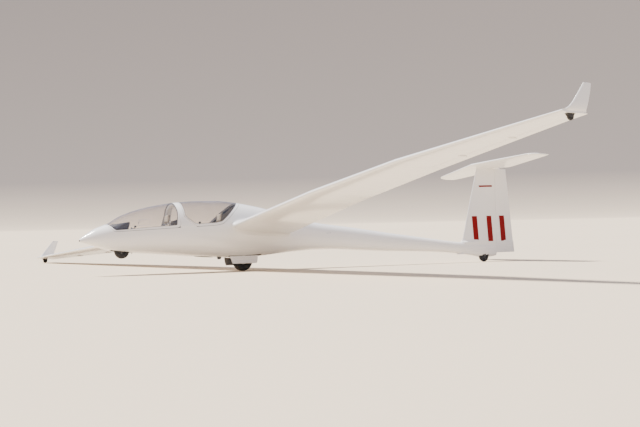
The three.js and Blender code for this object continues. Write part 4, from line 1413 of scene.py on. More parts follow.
@dataclass
class Tail:
    """The rudder, the tailplane with its elevator, and the marks on the fin."""

    fin: FinShape = field(default_factory=FinShape)
    shape: TailplaneShape = field(default_factory=TailplaneShape)
    hinge_x: float = 5400.0
    hinge_span: float = 1480.0
    hinge_halves: Pair = (24.0, 10.3)
    # Heights below and above all of the tailplane
    heights: Pair = (1500.0, 2000.0)
    notch: tuple = ((5412, -68), (5640, -184), (5640, 184), (5412, 68))
    bars: tuple = (
        # x from, x to, z from, z to
        (4742, 4852, 375, 851), (5058, 5170, 375, 851), (5345, 5460, 375, 851), (4951, 5245, 1391, 1423),
    )

    def rudder(self) -> Piece:
        """Builds the rudder."""
        whole = self.fin.loft(self.fin.table[0][0], self.fin.top)
        moving = self.fin.hinged().split(whole, 2, 1, AFT)[0]
        return moving.piece("rudder_surface", "rudder_body", (WHITE,), "gelcoat", ("rudder",), like=whole)

    def tailplane(self) -> list[Piece]:
        """Builds the fixed tailplane, and the elevator with the notch that the rudder swings in."""
        whole = self.shape.loft()
        height = self.shape.height_at(self.hinge_x)
        middle, end = self.hinge_halves
        start = Vector((self.hinge_x, 0, height))
        halves = [Hinged(start, start + Vector((0, side.value * self.hinge_span, 0)), middle, end)
                  for side in Side]
        low, high = self.heights
        room = Form.box((self.hinge_x, -self.hinge_span, low), (AFT, self.hinge_span, high))
        rolls = halves[0].roll(0.0, 0.0).join(halves[1].roll(0.0, 0.0))
        elevator = whole.keep(room).join(rolls.keep(whole)).cut(Form.prism(self.notch, low, high, "z"))
        wide = Form.box((self.hinge_x, -self.hinge_span - GAP, low), (AFT, self.hinge_span + GAP, high))
        fixed = whole.cut(wide, *(half.roll(half.room, half.end_room) for half in halves))
        rows = ((fixed, "tailplane", "airframe"), (elevator, "elevator", "elevator_body"))
        return [form.piece(name + "_surface", body, (WHITE,), "gelcoat", (name,), like=whole)
                for form, name, body in rows]

    def mark(self, low: Pair, high: Pair) -> Form:
        """A thin red bar that follows both sides of the fin.

        Args:
            low: its lower front corner, X and Z.
            high: its upper rear corner.

        Returns:
            The bar as two thin shells.
        """
        shells = []
        across = steps_between(low[0], high[0], 12)
        for side in Side:
            rings = []
            for z in steps_between(low[1], high[1], 30):
                outer = [(x, side.value * (self.fin.half(x, z) + 0.9), z) for x in across]
                inner = [(x, side.value * (self.fin.half(x, z) - 0.6), z) for x in reversed(across)]
                rings.append(outer + inner)
            shells.append(Form.loft(rings))
        return Form.group(shells)

    def marks(self) -> list[Piece]:
        """Builds the red bars on the fin and the rudder."""
        names = ("front_mark", "middle_mark", "rudder_mark", "upper_mark")
        pieces = []
        for name, (x0, x1, z0, z1) in zip(names, self.bars):
            body = "rudder_body" if name == "rudder_mark" else "airframe"
            pieces.append(self.mark((x0, z0), (x1, z1)).piece(name, body, (MARK,), "gelcoat"))
        return pieces

    def build(self) -> list[Piece]:
        """Builds the tail."""
        return [self.rudder(), *self.tailplane(), *self.marks()]


@dataclass
class TipWheel:
    """The small wheel under a wing tip, and the fairing that carries it."""

    side: Side
    radius: float = 50.0
    width: float = 36.0
    x: float = -43.0
    y: float = 9923.0
    drop: float = 74.0
    pin: float = 6.0
    gap: float = GAP
    cheek: float = 8.0

    @property
    def centre(self) -> Vector:
        """The wheel's centre."""
        shape = WingShape(self.side)
        return Vector((self.x, self.side.value * self.y, shape.station(shape.tip)[0].z - self.drop))

    def room(self) -> Form:
        """The room that the fairing takes in the wing."""
        c = self.centre
        # The pocket's faces take finish 1, dark grey as painted shade in the recess
        return Form.box((c.x - 68, c.y - 33, c.z - 60), (c.x + 68, c.y + 33, c.z + 62), 1)

    def wheel(self) -> Piece:
        """Builds the rubber wheel with its moulded hub."""
        half, r = self.width / 2, self.radius
        tyre = [(self.pin + 0.3, -11), (20, -11), (23, -12.5), (26, -17.5), (36, -half), (43, -16.5),
                (48.2, -11), (r, -4)]
        form = Form.lathe(tyre + [(radius, -y) for radius, y in reversed(tyre)], 56, self.centre)
        middle = self.centre
        form.finish_where(1, lambda face: math.hypot(face.center.x - middle.x, face.center.z - middle.z) < 22)
        rubber = TyreRubber(f"tip_rubber_{self.side.word}", tuple(PARKED.matrix @ self.centre), AXLE, r * MM)
        name = "tip_wheel_" + self.side.word
        return form.piece(name + "_rubber", name + "_body", (rubber, DARK_ALLOY), "tyre", (name,))

    def mount(self) -> Piece:
        """Builds the fairing with its pin."""
        c = self.centre
        reach = self.width / 2 + self.gap
        outline = [(c.x - 19, c.z - 15), (c.x + 19, c.z - 15), (c.x + 66, c.z + 44), (c.x + 66, c.z + 61.6),
                   (c.x - 66, c.z + 61.6), (c.x - 66, c.z + 44)]
        form = Form.prism(rounded(outline, 14), c.y - reach - self.cheek, c.y + reach + self.cheek)
        form.softened(3.5, 3, 40)
        rod = Form.rod([(c.x, c.y - reach, c.z), (c.x, c.y + reach, c.z)], self.radius + self.gap, 48, 1)
        below = Form.box((c.x - 60, c.y - reach, c.z - 60), (c.x + 60, c.y + reach, c.z), 1)
        form = form.cut(rod, below)
        half = [(0, -reach - 12), (9, -reach - 12), (10, -reach - 9), (self.pin, -reach - 8)]
        pin = Form.disc(c, (0, 1, 0), half + [(radius, -y) for radius, y in reversed(half)], 24, 2)
        name = "tip_wheel_mount_" + self.side.word
        # Black fairing with blacker cut faces: painted shade on a fairing that stands in shadow
        finishes = (BLACK, SEAL, DARK_ALLOY)
        return form.with_parts(pin).piece(name + "_fairing", "airframe", finishes, "gelcoat", (name,))

    def build(self) -> list[Piece]:
        """Builds the wheel and its fairing."""
        return [self.wheel(), self.mount()]


@dataclass
class Wing:
    """One wing: two panels, the aileron, the airbrake, the winglet and the small pieces on them."""

    side: Side
    aileron_inner: float = 5900.0
    aileron_outer: float = 9560.0
    aileron_hinge: float = 0.76
    aileron_gap: float = 7.0
    brake_inner: float = 2250.0
    brake_outer: float = 3650.0
    brake_share: float = 0.48
    brake_blade: float = 8.0
    brake_cap: float = 34.0
    brake_depth: float = 105.0
    brake_gap: float = 4.2
    brake_holes: int = 16
    overlap: float = 40.0
    winglet: tuple = (
        # outboard of the overlap's start, height, leading edge aft, chord, cant in degrees
        (25, 8, 30, 352, 20), (42, 40, 95, 281, 62), (46, 90, 150, 247, 84), (30, 230, 275, 183, 90),
        (8, 355, 385, 122, 90),
    )
    winglet_thickness: float = 0.11
    winglet_camber: float = 0.4

    def __post_init__(self) -> None:
        """Works out the wing's shape."""
        self.shape = WingShape(self.side)

    def named(self, stem: str) -> str:
        """A piece's name with the wing's side."""
        return f"{stem}_{self.side.word}"

    def strip(self, width: float, top: float, bottom: float, gap: float = 0.0, slot: int = 0) -> Form:
        """A straight strip under the upper skin, where the airbrake lies.

        Args:
            width: its width along the chord.
            top: how far below the skin it starts.
            bottom: how far below the skin it ends.
            gap: how much larger it is all round.
            slot: the finish number of its faces.

        Returns:
            The solid.
        """
        a, b = (self.shape.surface(y, self.brake_share, 1) for y in (self.brake_inner, self.brake_outer))
        run = (b - a).normalized()
        half = width / 2 + gap
        rings = []
        for base in (a - run * gap, b + run * gap):
            rings.append([base + self.shape.along * (s * half) - self.shape.up * d
                          for s, d in ((-1, top), (1, top), (1, bottom + gap), (-1, bottom + gap))])
        return Form.loft(rings, slot)

    def inner_panel(self) -> Piece:
        """Builds the inner panel with the airbrake's slot."""
        whole = self.shape.loft(self.shape.root + 3, self.shape.split)
        # The airbrake's slot takes finish 1, dark grey as painted shade in the recess
        box = self.strip(self.brake_cap, -60, self.brake_depth, self.brake_gap, 1)
        return whole.cut(box).piece(self.named("wing_inner_skin"), "airframe", (WHITE, WELL_PAINTED_SHADE), "gelcoat",
                                    (self.named("wing_inner"),), like=whole)

    def airbrake(self) -> Piece:
        """Builds the airbrake: a cap flush with the skin, on a blade with two rows of holes and two ribs."""
        skin = self.shape.loft(self.shape.reference, self.shape.split)
        cap = self.strip(self.brake_cap, -60, 7).keep(skin)
        blade = self.strip(self.brake_blade, 5, self.brake_depth)
        a, b = (self.shape.surface(y, self.brake_share, 1) for y in (self.brake_inner, self.brake_outer))
        # The holes' walls take finish 1, dark grey as painted shade
        holes = []
        along = self.shape.along * 20
        for row in (34, 62):
            for i in range(self.brake_holes):
                middle = a.lerp(b, (i + 0.5) / self.brake_holes) - self.shape.up * row
                holes.append(Form.rod([middle - along, middle + along], 9.0, 20, 1))
        form = cap.join(blade).cut(Form.group(holes))
        ribs = []
        for share in (0.14, 0.86):
            middle = a.lerp(b, share) - self.shape.up * (self.brake_depth / 2)
            run = (b - a).normalized() * 5
            ribs.append(Form.rod([middle - run * 9, middle + run * 9], 5.0, 16))
        return form.with_parts(*ribs).piece(self.named("airbrake_blade"), self.named("airbrake") + "_body",
                                            (WHITE, WELL_PAINTED_SHADE), "gelcoat", (self.named("airbrake"),))

    def winglet_form(self) -> Form:
        """The winglet, blended up from the wing's tip."""
        tip = self.shape.tip
        lead = self.shape.station(tip)[0]
        start, start_chord, start_thickness = self.shape.station(tip - self.overlap)
        rows = [(0, 0.0, start.z - lead.z, start.x - lead.x, start_chord, 0.0, start_thickness, 1.0)]
        for i, (out, rise, aft, width, cant) in enumerate(self.winglet):
            rows.append((i + 1, out, rise, aft, width, cant, self.winglet_thickness, self.winglet_camber))
        course = Course(rows)
        rings = []
        sign = self.side.value
        for at in steps_between(0, len(self.winglet), 0.125):
            out, rise, aft, width, cant, thick, camber = (float(v) for v in course(at))
            lean = math.radians(cant)
            up = Vector((0, -sign * math.sin(lean), 0)) + self.shape.up * math.cos(lean)
            leading = Vector((lead.x + aft, sign * (tip - self.overlap + out), lead.z + rise))
            rings.append(Airfoil.ring(leading, width, thick, self.shape.along, up, camber))
        last = rings[-1]
        middle = sum(last, Vector()) / len(last)
        for shrink, rise in ((0.93, 3.0), (0.78, 5.5), (0.5, 7.0)):
            stretch = 1 - (1 - shrink) * 0.25
            rings.append([middle + Vector(((p - middle).x * stretch, (p - middle).y * shrink,
                                           (p - middle).z * shrink + rise)) for p in last])
        return Form.loft(rings)

    def outer_panel(self) -> list[Piece]:
        """Builds the outer panel with its winglet, and the aileron."""
        shape = self.shape
        whole = shape.loft(shape.split + 2, shape.tip)
        near, far = (shape.middle(y, self.aileron_hinge) for y in (self.aileron_inner, self.aileron_outer))
        hinge = Hinged(near[0], far[0], near[1], far[1])
        moving, fixed = hinge.split(whole, 1, 2, 900.0)
        outline = fixed.join(self.winglet_form())
        fixed = outline.cut(TipWheel(self.side).room())
        return [fixed.piece(self.named("wing_outer_skin"), "airframe", (WHITE, WELL_PAINTED_SHADE), "gelcoat",
                            (self.named("wing_outer"),), like=outline),
                moving.piece(self.named("aileron_surface"), self.named("aileron") + "_body", (WHITE,),
                             "gelcoat", (self.named("aileron"),), like=whole)]

    def band(self, y: float, width: float, lift: float) -> Form:
        """A thin band round the wing."""
        bases = [self.shape.ring(at) for at in steps_between(y - width / 2, y + width / 2, width / 2)]
        return Form.loft([[p + out * lift for p, out in zip(base, outward(base))] for base in bases])

    def seal(self, sign: int) -> Form:
        """The seal strip over the aileron's hinge, above or below.

        Args:
            sign: 1 for the upper skin, -1 for the lower one.

        Returns:
            The strip.
        """
        rings = []
        for y in steps_between(self.aileron_inner - self.aileron_gap,
                               self.aileron_outer + self.aileron_gap, 120):
            _, chord, _ = self.shape.station(y)
            share = self.aileron_hinge
            points = [(share - 34 / chord, 0.2), (share - 32 / chord, 0.9), (share - 2 / chord, 0.9),
                      (share - 2 / chord, 0.3), (share - 32 / chord, -0.3)]
            rings.append([self.shape.surface(y, s, sign, lift) for s, lift in points])
        return Form.loft(rings)

    def rod_cover(self, y: float, share: float, length: float) -> Form:
        """A small teardrop cover under the wing, over a control's pushrod."""
        base = self.shape.surface(y, share, -1)
        path, radii = [], []
        for t in steps_between(0, 1, 1 / 24):
            path.append(base + self.shape.along * (length * (t - 0.35)))
            radii.append(15 * math.sqrt(t) * (1 - t) * 2.6 + 0.4)
        return Form.rod(path, radii, 20)

    def small_pieces(self) -> list[Piece]:
        """Builds the tapes, the seal strips and the covers under the wing."""
        shape = self.shape
        tape = self.band(shape.root + 1.5, 26, 0.7).with_parts(self.band(shape.split + 1, 24, 0.7))
        seals = self.seal(1).with_parts(self.seal(-1))
        covers = [self.rod_cover(y, share, 150) for y, share in ((6900, 0.70), (8300, 0.69))]
        return [tape.piece(self.named("wing_joint_tape"), "airframe", (WHITE,), "gelcoat"),
                seals.piece(self.named("aileron_seal"), "airframe", (WHITE,), "gelcoat"),
                Form.group(covers).piece(self.named("aileron_rod_covers"), "airframe", (WHITE,), "gelcoat")]

    def build(self) -> list[Piece]:
        """Builds the wing."""
        return [self.inner_panel(), self.airbrake(), *self.outer_panel(), *self.small_pieces()]


class Tread(Enum):
    """The pattern round a tyre."""

    RIBBED = "ribbed"
    SMOOTH = "smooth"


@dataclass
class Wheel:
    """A wheel: the tyre, the cast rim with its bolts and valve, and a brake disc if it has one."""

    name: str
    radius: float
    width: float
    rim: float
    x: float
    z: float
    bore: float
    tread: Tread
    bolts: int = 6
    ribs: int = 5
    spokes: int = 0
    cast: Metal = ALLOY

    def tyre_profile(self) -> list[Pair]:
        """Half section of the tyre, with its bead, side and tread."""
        half = self.width / 2
        bead = self.rim + 0.3
        deep = self.radius - bead
        points = [(bead, -0.56 * half), (bead, -0.72 * half), (bead + 0.05 * deep, -0.80 * half)]
        for i in range(9):
            angle = math.pi * (0.04 + 0.40 * i / 8)
            points.append((bead + 0.08 * deep + 0.44 * deep * (1 - math.cos(angle)) * 1.05,
                           -half * (0.80 + 0.20 * math.sin(angle) ** 0.8)))
        for i in range(7):
            angle = math.pi / 2 * (0.18 + 0.62 * i / 6)
            points.append((bead + 0.5 * deep + 0.47 * deep * math.sin(angle) ** 0.9,
                           -half * (0.30 + 0.70 * math.cos(angle) ** 0.72)))
        tread_half = 0.46 * half
        if self.tread is Tread.RIBBED:
            step = 2 * tread_half / self.ribs
            for i in range(self.ribs):
                low = -tread_half + i * step
                sag = 0.02 * deep * (2 * abs((i + 0.5) / self.ribs - 0.5)) ** 2
                points += [(self.radius - sag, low + share * step) for share in (0.14, 0.80)]
                if i < self.ribs - 1:
                    points += [(self.radius - 0.07 * deep, low + share * step) for share in (0.86, 1.08)]
        else:
            points += [(self.radius, -0.22 * half), (self.radius, 0.0), (self.radius, 0.22 * half)]
        left = [(r, y) for r, y in points if y < -1e-6]
        middle = [(r, y) for r, y in points if abs(y) <= 1e-6]
        return left + middle + [(r, -y) for r, y in reversed(left)]

    @property
    def centre(self) -> Triple:
        """The wheel's centre."""
        return (self.x, 0.0, self.z)

    def tyre(self) -> Piece:
        """Builds the tyre."""
        form = Form.lathe(self.tyre_profile(), 96, self.centre)
        name = self.name
        rubber = TyreRubber(name + "_rubber", tuple(PARKED.matrix @ Vector(self.centre)), AXLE,
                            self.radius * MM)
        return form.piece(name + "_tyre_rubber", name + "_wheel", (rubber,), "tyre", (name + "_tyre",))

    def hub(self) -> Piece:
        """Builds the rim with its holes and bolts, the valve and the brake disc."""
        lip, hub = self.width * 0.33, self.width * 0.42
        web, bore, rim = self.width * 0.1, self.bore + 0.3, self.rim
        half = [(bore, hub), (self.bore + 9, hub), (self.bore + 13, hub - 3), (self.bore + 16, web + 5),
                (self.bore + 21, web), (rim - 17, web), (rim - 12, web + 4), (rim - 9, lip - 5),
                (rim - 7, lip), (rim - 2, lip), (rim, lip - 2), (rim, 2)]
        profile = [(r, -y) for r, y in half] + list(reversed(half))
        form = Form.lathe(profile, 64, self.centre)
        middle = (self.bore + rim) / 2 + 1

        def at(turn: float, y: float) -> Vector:
            """The point on the bolts' circle at a share of a turn."""
            angle = 2 * math.pi * turn
            return Vector(self.centre) + Vector((middle * math.cos(angle), y, middle * math.sin(angle)))

        if self.spokes:
            holes = []
            for i in range(self.spokes):
                ends = [at(i / self.spokes, y) for y in (-30, 30)]
                holes.append(Form.rod(ends, (rim - self.bore) * 0.2, 24))
            form = form.cut(Form.group(holes))
        head = [(0, 0), (4.4, 0), (4.4, 3.4), (3.4, 4.4), (0, 4.4)]
        extras = [Form.disc(at((i + 0.5) / self.bolts, sign * web), (0, sign, 0), head, 6, 1)
                  for i in range(self.bolts) for sign in (-1, 1)]
        valve = Vector(self.centre) + Vector((rim - 14, -web, 0))
        extras.append(Form.rod([valve, valve + Vector((-5, -14, 0))], 3.0, 12, 2))
        disc = self.rim * 0.70
        extras.append(Form.disc((self.x, hub - 7, self.z), (0, 1, 0),
                                [(self.bore + 10, -1.6), (disc, -1.6), (disc, 1.6),
                                 (self.bore + 10, 1.6)], 48, 1))
        finishes = (self.cast, BRIGHT, BLACK)
        return form.with_parts(*extras).piece(self.name + "_rim_cast", self.name + "_wheel", finishes, "rim",
                                              (self.name + "_rim",))

    def build(self) -> list[Piece]:
        """Builds the wheel."""
        return [self.tyre(), self.hub()]


@dataclass
class Gear:
    """The three wheels on the middle line, their forks, the doors and the tow release."""

    wheels: tuple = (
        Wheel("main", 181, 125, 74, 0, 183.3, 15, Tread.RIBBED, 8, 5, 5),
        Wheel("nose", 130, 80, 58, -2217, 412, 10, Tread.RIBBED, 6, 3, 0, DARK_ALLOY),
        Wheel("tail", 100, 50, 46, 4941, 101.3, 8, Tread.SMOOTH, 6, 3, 0, DARK_ALLOY),
    )
    forks: tuple = (
        # cheek half width at the top, how far the top leans forward, top, cheek thickness, crown height
        (34, -10, 519, 16, 24), (26, 0, 569.5, 8, 18), (14, 0, 215.5, 4, 8),
    )
    gap: float = GAP
    door_front: float = -285.0
    door_rear: float = 243.0
    door_height: float = 134.0
    door_bow: float = 6.0
    door_points: int = 34
    door_thickness: float = 8.0
    door_lean: float = math.radians(9)
    door_hinge: Pair = (122.0, 250.0)

    def fork(self, wheel: Wheel, row: Sequence[float]) -> Piece:
        """Builds a fork with its axle and nuts.

        Args:
            wheel: the wheel that it carries.
            row: its row of sizes.

        Returns:
            The piece.
        """
        cheek, reach, top, thickness, crown = row
        inner = wheel.width / 2 + self.gap
        outer = inner + thickness
        lead = wheel.x + reach
        outline = rounded([(wheel.x - 22, wheel.z - 18), (wheel.x + 22, wheel.z - 18), (lead + cheek, top),
                           (lead - cheek, top)], 12)
        plates = [Form.prism(outline, low, high) for low, high in ((-outer, -inner), (inner, outer))]
        bridge = Form.box((lead - cheek, -outer, top - crown), (lead + cheek, outer, top))
        form = plates[0].join(plates[1], bridge).softened(1.6, 2, 50)
        b = wheel.bore
        half = [(0, -outer - 9), (b - 4, -outer - 9), (b - 3, -outer - 1), (b + 5, -outer - 1),
                (b + 5, -outer), (b, -outer)]
        axle = Form.disc(wheel.centre, (0, 1, 0), half + [(r, -y) for r, y in reversed(half)], 24, 1)
        nuts = [Form.disc((wheel.x, s * (outer + 1), wheel.z), (0, s, 0),
                          [(0, 0), (b + 2, 0), (b + 2, 5), (b, 6.5), (0, 6.5)], 6, 1) for s in (-1, 1)]
        name = wheel.name + ("_gear_fork" if wheel.name == "main" else "_wheel_fork")
        finishes = (DARK_ALLOY, DARK_ALLOY) if wheel.cast is DARK_ALLOY else (STEEL, BRIGHT)
        return form.with_parts(axle, *nuts).piece(name + "_legs", "airframe", finishes, "steel", (name,))

    def gear_door(self, side: Side) -> Piece:
        """Builds a curved door with its stiffener and hinges; its inner face and stiffener are dark grey,
        painted shade.
        """
        sign = side.value
        rings = []
        for z in steps_between(-self.door_height, 0, 8):
            share = -z / self.door_height
            low = self.door_front + 23 * share + 10 * share ** 4
            high = self.door_rear - 28 * share - 10 * share ** 4
            bow = self.door_bow * math.sin(math.pi * share)
            rows = []
            for half in (self.door_thickness / 2, -self.door_thickness / 2):
                start, end = (Vector((x, sign * (half + bow), z)) for x in (low, high))
                rows.append([start.lerp(end, i / (self.door_points - 1)) for i in range(self.door_points)])
            rings.append(rows[0] + rows[1][::-1])
        form = Form.loft(rings).softened(1.5, 2, 60)
        # The inner face takes finish 1, dark grey as painted shade
        form.finish_where(1, lambda face: face.normal.y * sign < -0.5)
        ribs = [Form.rod([(x, sign * -9, -118), (x, sign * -9, -4)], 5.0, 12, 1, up=(1, 0, 0))
                for x in (-150, 110)]
        y, z = sign * self.door_hinge[0], self.door_hinge[1]
        turn = Matrix.Translation((0, y, z)) @ Matrix.Rotation(sign * self.door_lean, 4, "X")
        shell = form.with_parts(*ribs).moved(turn).cut(Body.loft(-500, 500, -0.3))
        pins = [Form.rod([(x - 16, y, z - 6), (x + 16, y, z - 6)], 4.2, 14, 2) for x in (-200, 160)]
        name = "main_gear_door_" + side.word
        finishes = (WHITE, WELL_PAINTED_SHADE, BRIGHT)
        return shell.with_parts(*pins).piece(name + "_panel", "airframe", finishes, "gelcoat", (name,))

    def hook(self) -> Piece:
        """Builds the tow release: a ring hook between two cheeks."""
        cheeks = [Form.prism(rounded([(-470, 262), (-468, 222), (-452, 215), (-414, 215), (-400, 240),
                                      (-400, 262)], 8), low, high) for low, high in ((-14, -9), (9, 14))]
        beak = Form.prism(rounded([(-458, 262), (-456, 234), (-420, 224), (-414, 230), (-438, 244),
                                   (-440, 262)], 6), -6, 6, slot=1)
        form = cheeks[0].with_parts(cheeks[1], beak).softened(1.2, 2, 50)
        pin = Form.rod([(-448, -16, 246), (-448, 16, 246)], 4.0, 16, 1)
        return form.with_parts(pin).piece("tow_hook_release", "airframe", (DARK_ALLOY, DARK_ALLOY), "steel",
                                          ("tow_hook",))

    def build(self) -> list[Piece]:
        """Builds the gear."""
        pieces = [piece for wheel in self.wheels for piece in wheel.build()]
        pieces += [self.fork(wheel, row) for wheel, row in zip(self.wheels, self.forks)]
        return pieces + [self.gear_door(side) for side in Side] + [self.hook()]


@dataclass
class Canopy:
    """A canopy: its white frame, the clear shell in it, and the seal, latch and hinges."""

    name: str
    outline: tuple
    window: tuple
    start: float
    end: float
    latch_x: float
    hinge_xs: Pair
    openings: Openings = field(default_factory=Openings)
    frame_depth: float = 20.0
    glass_depth: float = 5.0

    @property
    def body(self) -> str:
        """The body that it rides on."""
        return self.name + "_canopy"

    def frame_ring(self) -> Piece:
        """Builds the frame."""
        skin = Body.skin(self.start, self.end, 0.0, self.frame_depth, 0, 25)
        whole = self.openings.prism(self.outline)
        form = skin.keep(whole).cut(self.openings.prism(self.window, 0.0, 1))
        return form.piece(self.body + "_frame_ring", self.body, (WHITE, BLACK), "gelcoat",
                          (self.body + "_frame",), like=Body.loft(self.start, self.end, step=25))

    def pane(self) -> Piece:
        """Builds the clear shell, a hair inside the frame's surface."""
        skin = Body.skin(self.start, self.end, 0.6, self.glass_depth, 0, 25)
        form = skin.keep(self.openings.prism(self.window, 0.3))
        return form.piece(self.body + "_pane", self.body, (CLEAR,), "clear", (self.body + "_glass",),
                          like=Body.loft(self.start, self.end, 0.6, step=25))

    def seam(self) -> Piece:
        """Builds the dark sealing line round the clear shell."""
        skin = Body.skin(self.start, self.end, -0.5, 1.5, 0, 25)
        form = skin.keep(self.openings.prism(self.window, -2)).cut(self.openings.prism(self.window, 3))
        return form.piece(self.body + "_seal_line", self.body, (SEAL,), "black")

    def sill_z(self, x: float) -> float:
        """The height of the frame's lower edge at a place."""
        lower = sorted(p for p in self.outline if p[1] < 990)
        return float(np.interp(x, [p[0] for p in lower], [p[1] for p in lower]))

    def latch(self) -> Piece:
        """Builds the latch inside the port rail: a plate, a pin and a round handle."""
        z = self.sill_z(self.latch_x) + 62
        y = -(Body.half_width(self.latch_x, z) - self.frame_depth - 6)
        x = self.latch_x
        lever = Form.rod([(x - 62, y - 1, z - 30), (x - 30, y + 3, z - 24), (x - 8, y + 5, z - 12),
                          (x, y + 6, z)], [5.5, 5.0, 5.0, 6.0], 16)
        knob = Form.disc((x, y + 6, z + 4), (0, 0, 1),
                         [(0, -17), (13, -16), (20, -7), (20, 8), (14, 16), (0, 18)], 28)
        plate = Form.prism(rounded([(x - 92, z - 44), (x - 22, z - 44), (x - 22, z - 22),
                                    (x - 92, z - 22)], 8), y - 9, y - 2, slot=1)
        form = lever.with_parts(knob, plate.softened(1.2, 2))
        return form.piece(self.body + "_latch", self.body, (BLACK, BRIGHT), "black")

    def hinges(self) -> Piece:
        """Builds the moving halves of the hinges inside the starboard rail."""
        hinge = HingeLine.of(self.body + "_hinge")
        parts = []
        for x in self.hinge_xs:
            p = hinge.at(0, x)
            inner = p + Vector((0, -20, 26))
            path = [p + Vector((0, -6, 3)), p + Vector((0, -15, 10)), inner, inner + Vector((0, -3, 26))]
            parts.append(Form.rod(path, [6, 6, 7, 7], 12, up=(1, 0, 0)))
            parts.append(Form.rod([p + Vector((-16, -8, 0)), p + Vector((16, -8, 0))], 4.5, 14, 1))
        return Form.group(parts).piece(self.body + "_hinge_arms", self.body, (STEEL, BRIGHT), "steel")

    def build(self) -> list[Piece]:
        """Builds the canopy."""
        return [self.frame_ring(), self.pane(), self.seam(), self.latch(), self.hinges()]


@dataclass
class FrontCanopy(Canopy):
    """The front canopy, with its sliding vent window."""

    name: str = "front"
    outline: tuple = Openings.front
    window: tuple = Openings.front_window
    start: float = -2600.0
    end: float = -1200.0
    latch_x: float = -2045.0
    hinge_xs: Pair = (-2150.0, -1400.0)
    vent: tuple = ((-2010, 800), (-1800, 800), (-1800, 900), (-1965, 900))
    vent_knob: Pair = (-1985, 850)

    def vent_window(self) -> list[Piece]:
        """Builds the sliding window's clear edge in the port side, and its knob."""
        port = Form.box((-2600, -600, 500), (-1200, -20, 1400))
        outline = rounded(self.vent, 22)
        outer = Body.skin(self.start, self.end, -1.6, 0.4, 0, 25).keep(port)
        edge = outer.keep(Form.prism(inset(outline, -5), -600, 0)).cut(Form.prism(inset(outline, 3), -610, 0))
        pieces = [edge.piece("vent_window_edge", self.body, (CLEAR_EDGE,), "clear")]
        x, z = self.vent_knob
        knob = Form.disc((x, -(Body.half_width(x, z) - 6), z), (0, 1, 0),
                         [(0, 0), (9, 0), (9, 10), (0, 12)], 20)
        pieces.append(knob.piece("vent_window_knob", self.body, (BLACK,), "black"))
        return pieces

    def build(self) -> list[Piece]:
        """Builds the canopy and its window."""
        return super().build() + self.vent_window()


@dataclass
class RearCanopy(Canopy):
    """The rear canopy."""

    name: str = "rear"
    outline: tuple = Openings.rear
    window: tuple = Openings.rear_window
    start: float = -1240.0
    end: float = 60.0
    latch_x: float = -900.0
    hinge_xs: Pair = (-880.0, -560.0)


class SeatLine:
    """A seat's line in even steps with rounded corners, and the direction away from the pan at each."""

    COUNT = 240
    CORNER = 70.0

    def __init__(self, corners: Sequence[Pair]) -> None:
        """Rounds the corners and works out the steps.

        Args:
            corners: the line's corners, as X and Z.
        """
        corners = [Vector(p) for p in corners]
        smooth = [corners[0]]
        for before, here, after in zip(corners, corners[1:], corners[2:]):
            back, on = (before - here).length, (after - here).length
            reach = min(self.CORNER, 0.45 * back, 0.45 * on)
            start, end = here.lerp(before, reach / back), here.lerp(after, reach / on)
            for t in (k / 8 for k in range(9)):
                smooth.append(start * (1 - t) ** 2 + here * (2 * t * (1 - t)) + end * t * t)
        smooth.append(corners[-1])
        lengths = np.concatenate(([0.0], np.cumsum([(b - a).length for a, b in zip(smooth, smooth[1:])])))
        places = np.linspace(0, lengths[-1], self.COUNT)
        xs, zs = (np.interp(places, lengths, [p[c] for p in smooth]) for c in (0, 1))
        self.points = [Vector((x, z)) for x, z in zip(xs, zs)]
        self.rises = []
        for i in range(self.COUNT):
            run = (self.points[min(i + 1, self.COUNT - 1)] - self.points[max(i - 1, 0)]).normalized()
            self.rises.append(Vector((-run.y, run.x)))

    def index(self, share: float) -> int:
        """The step at a share of the line."""
        return int(np.clip(share * (self.COUNT - 1), 0, self.COUNT - 1))

    def above(self, i: int, y: float, lift: float) -> Vector:
        """The point at a height above a step."""
        p, n = self.points[i], self.rises[i]
        return Vector((p.x + n.x * lift, y, p.y + n.y * lift))

    def out(self, i: int) -> Vector:
        """The direction away from the pan at a step."""
        return Vector((self.rises[i].x, 0, self.rises[i].y))


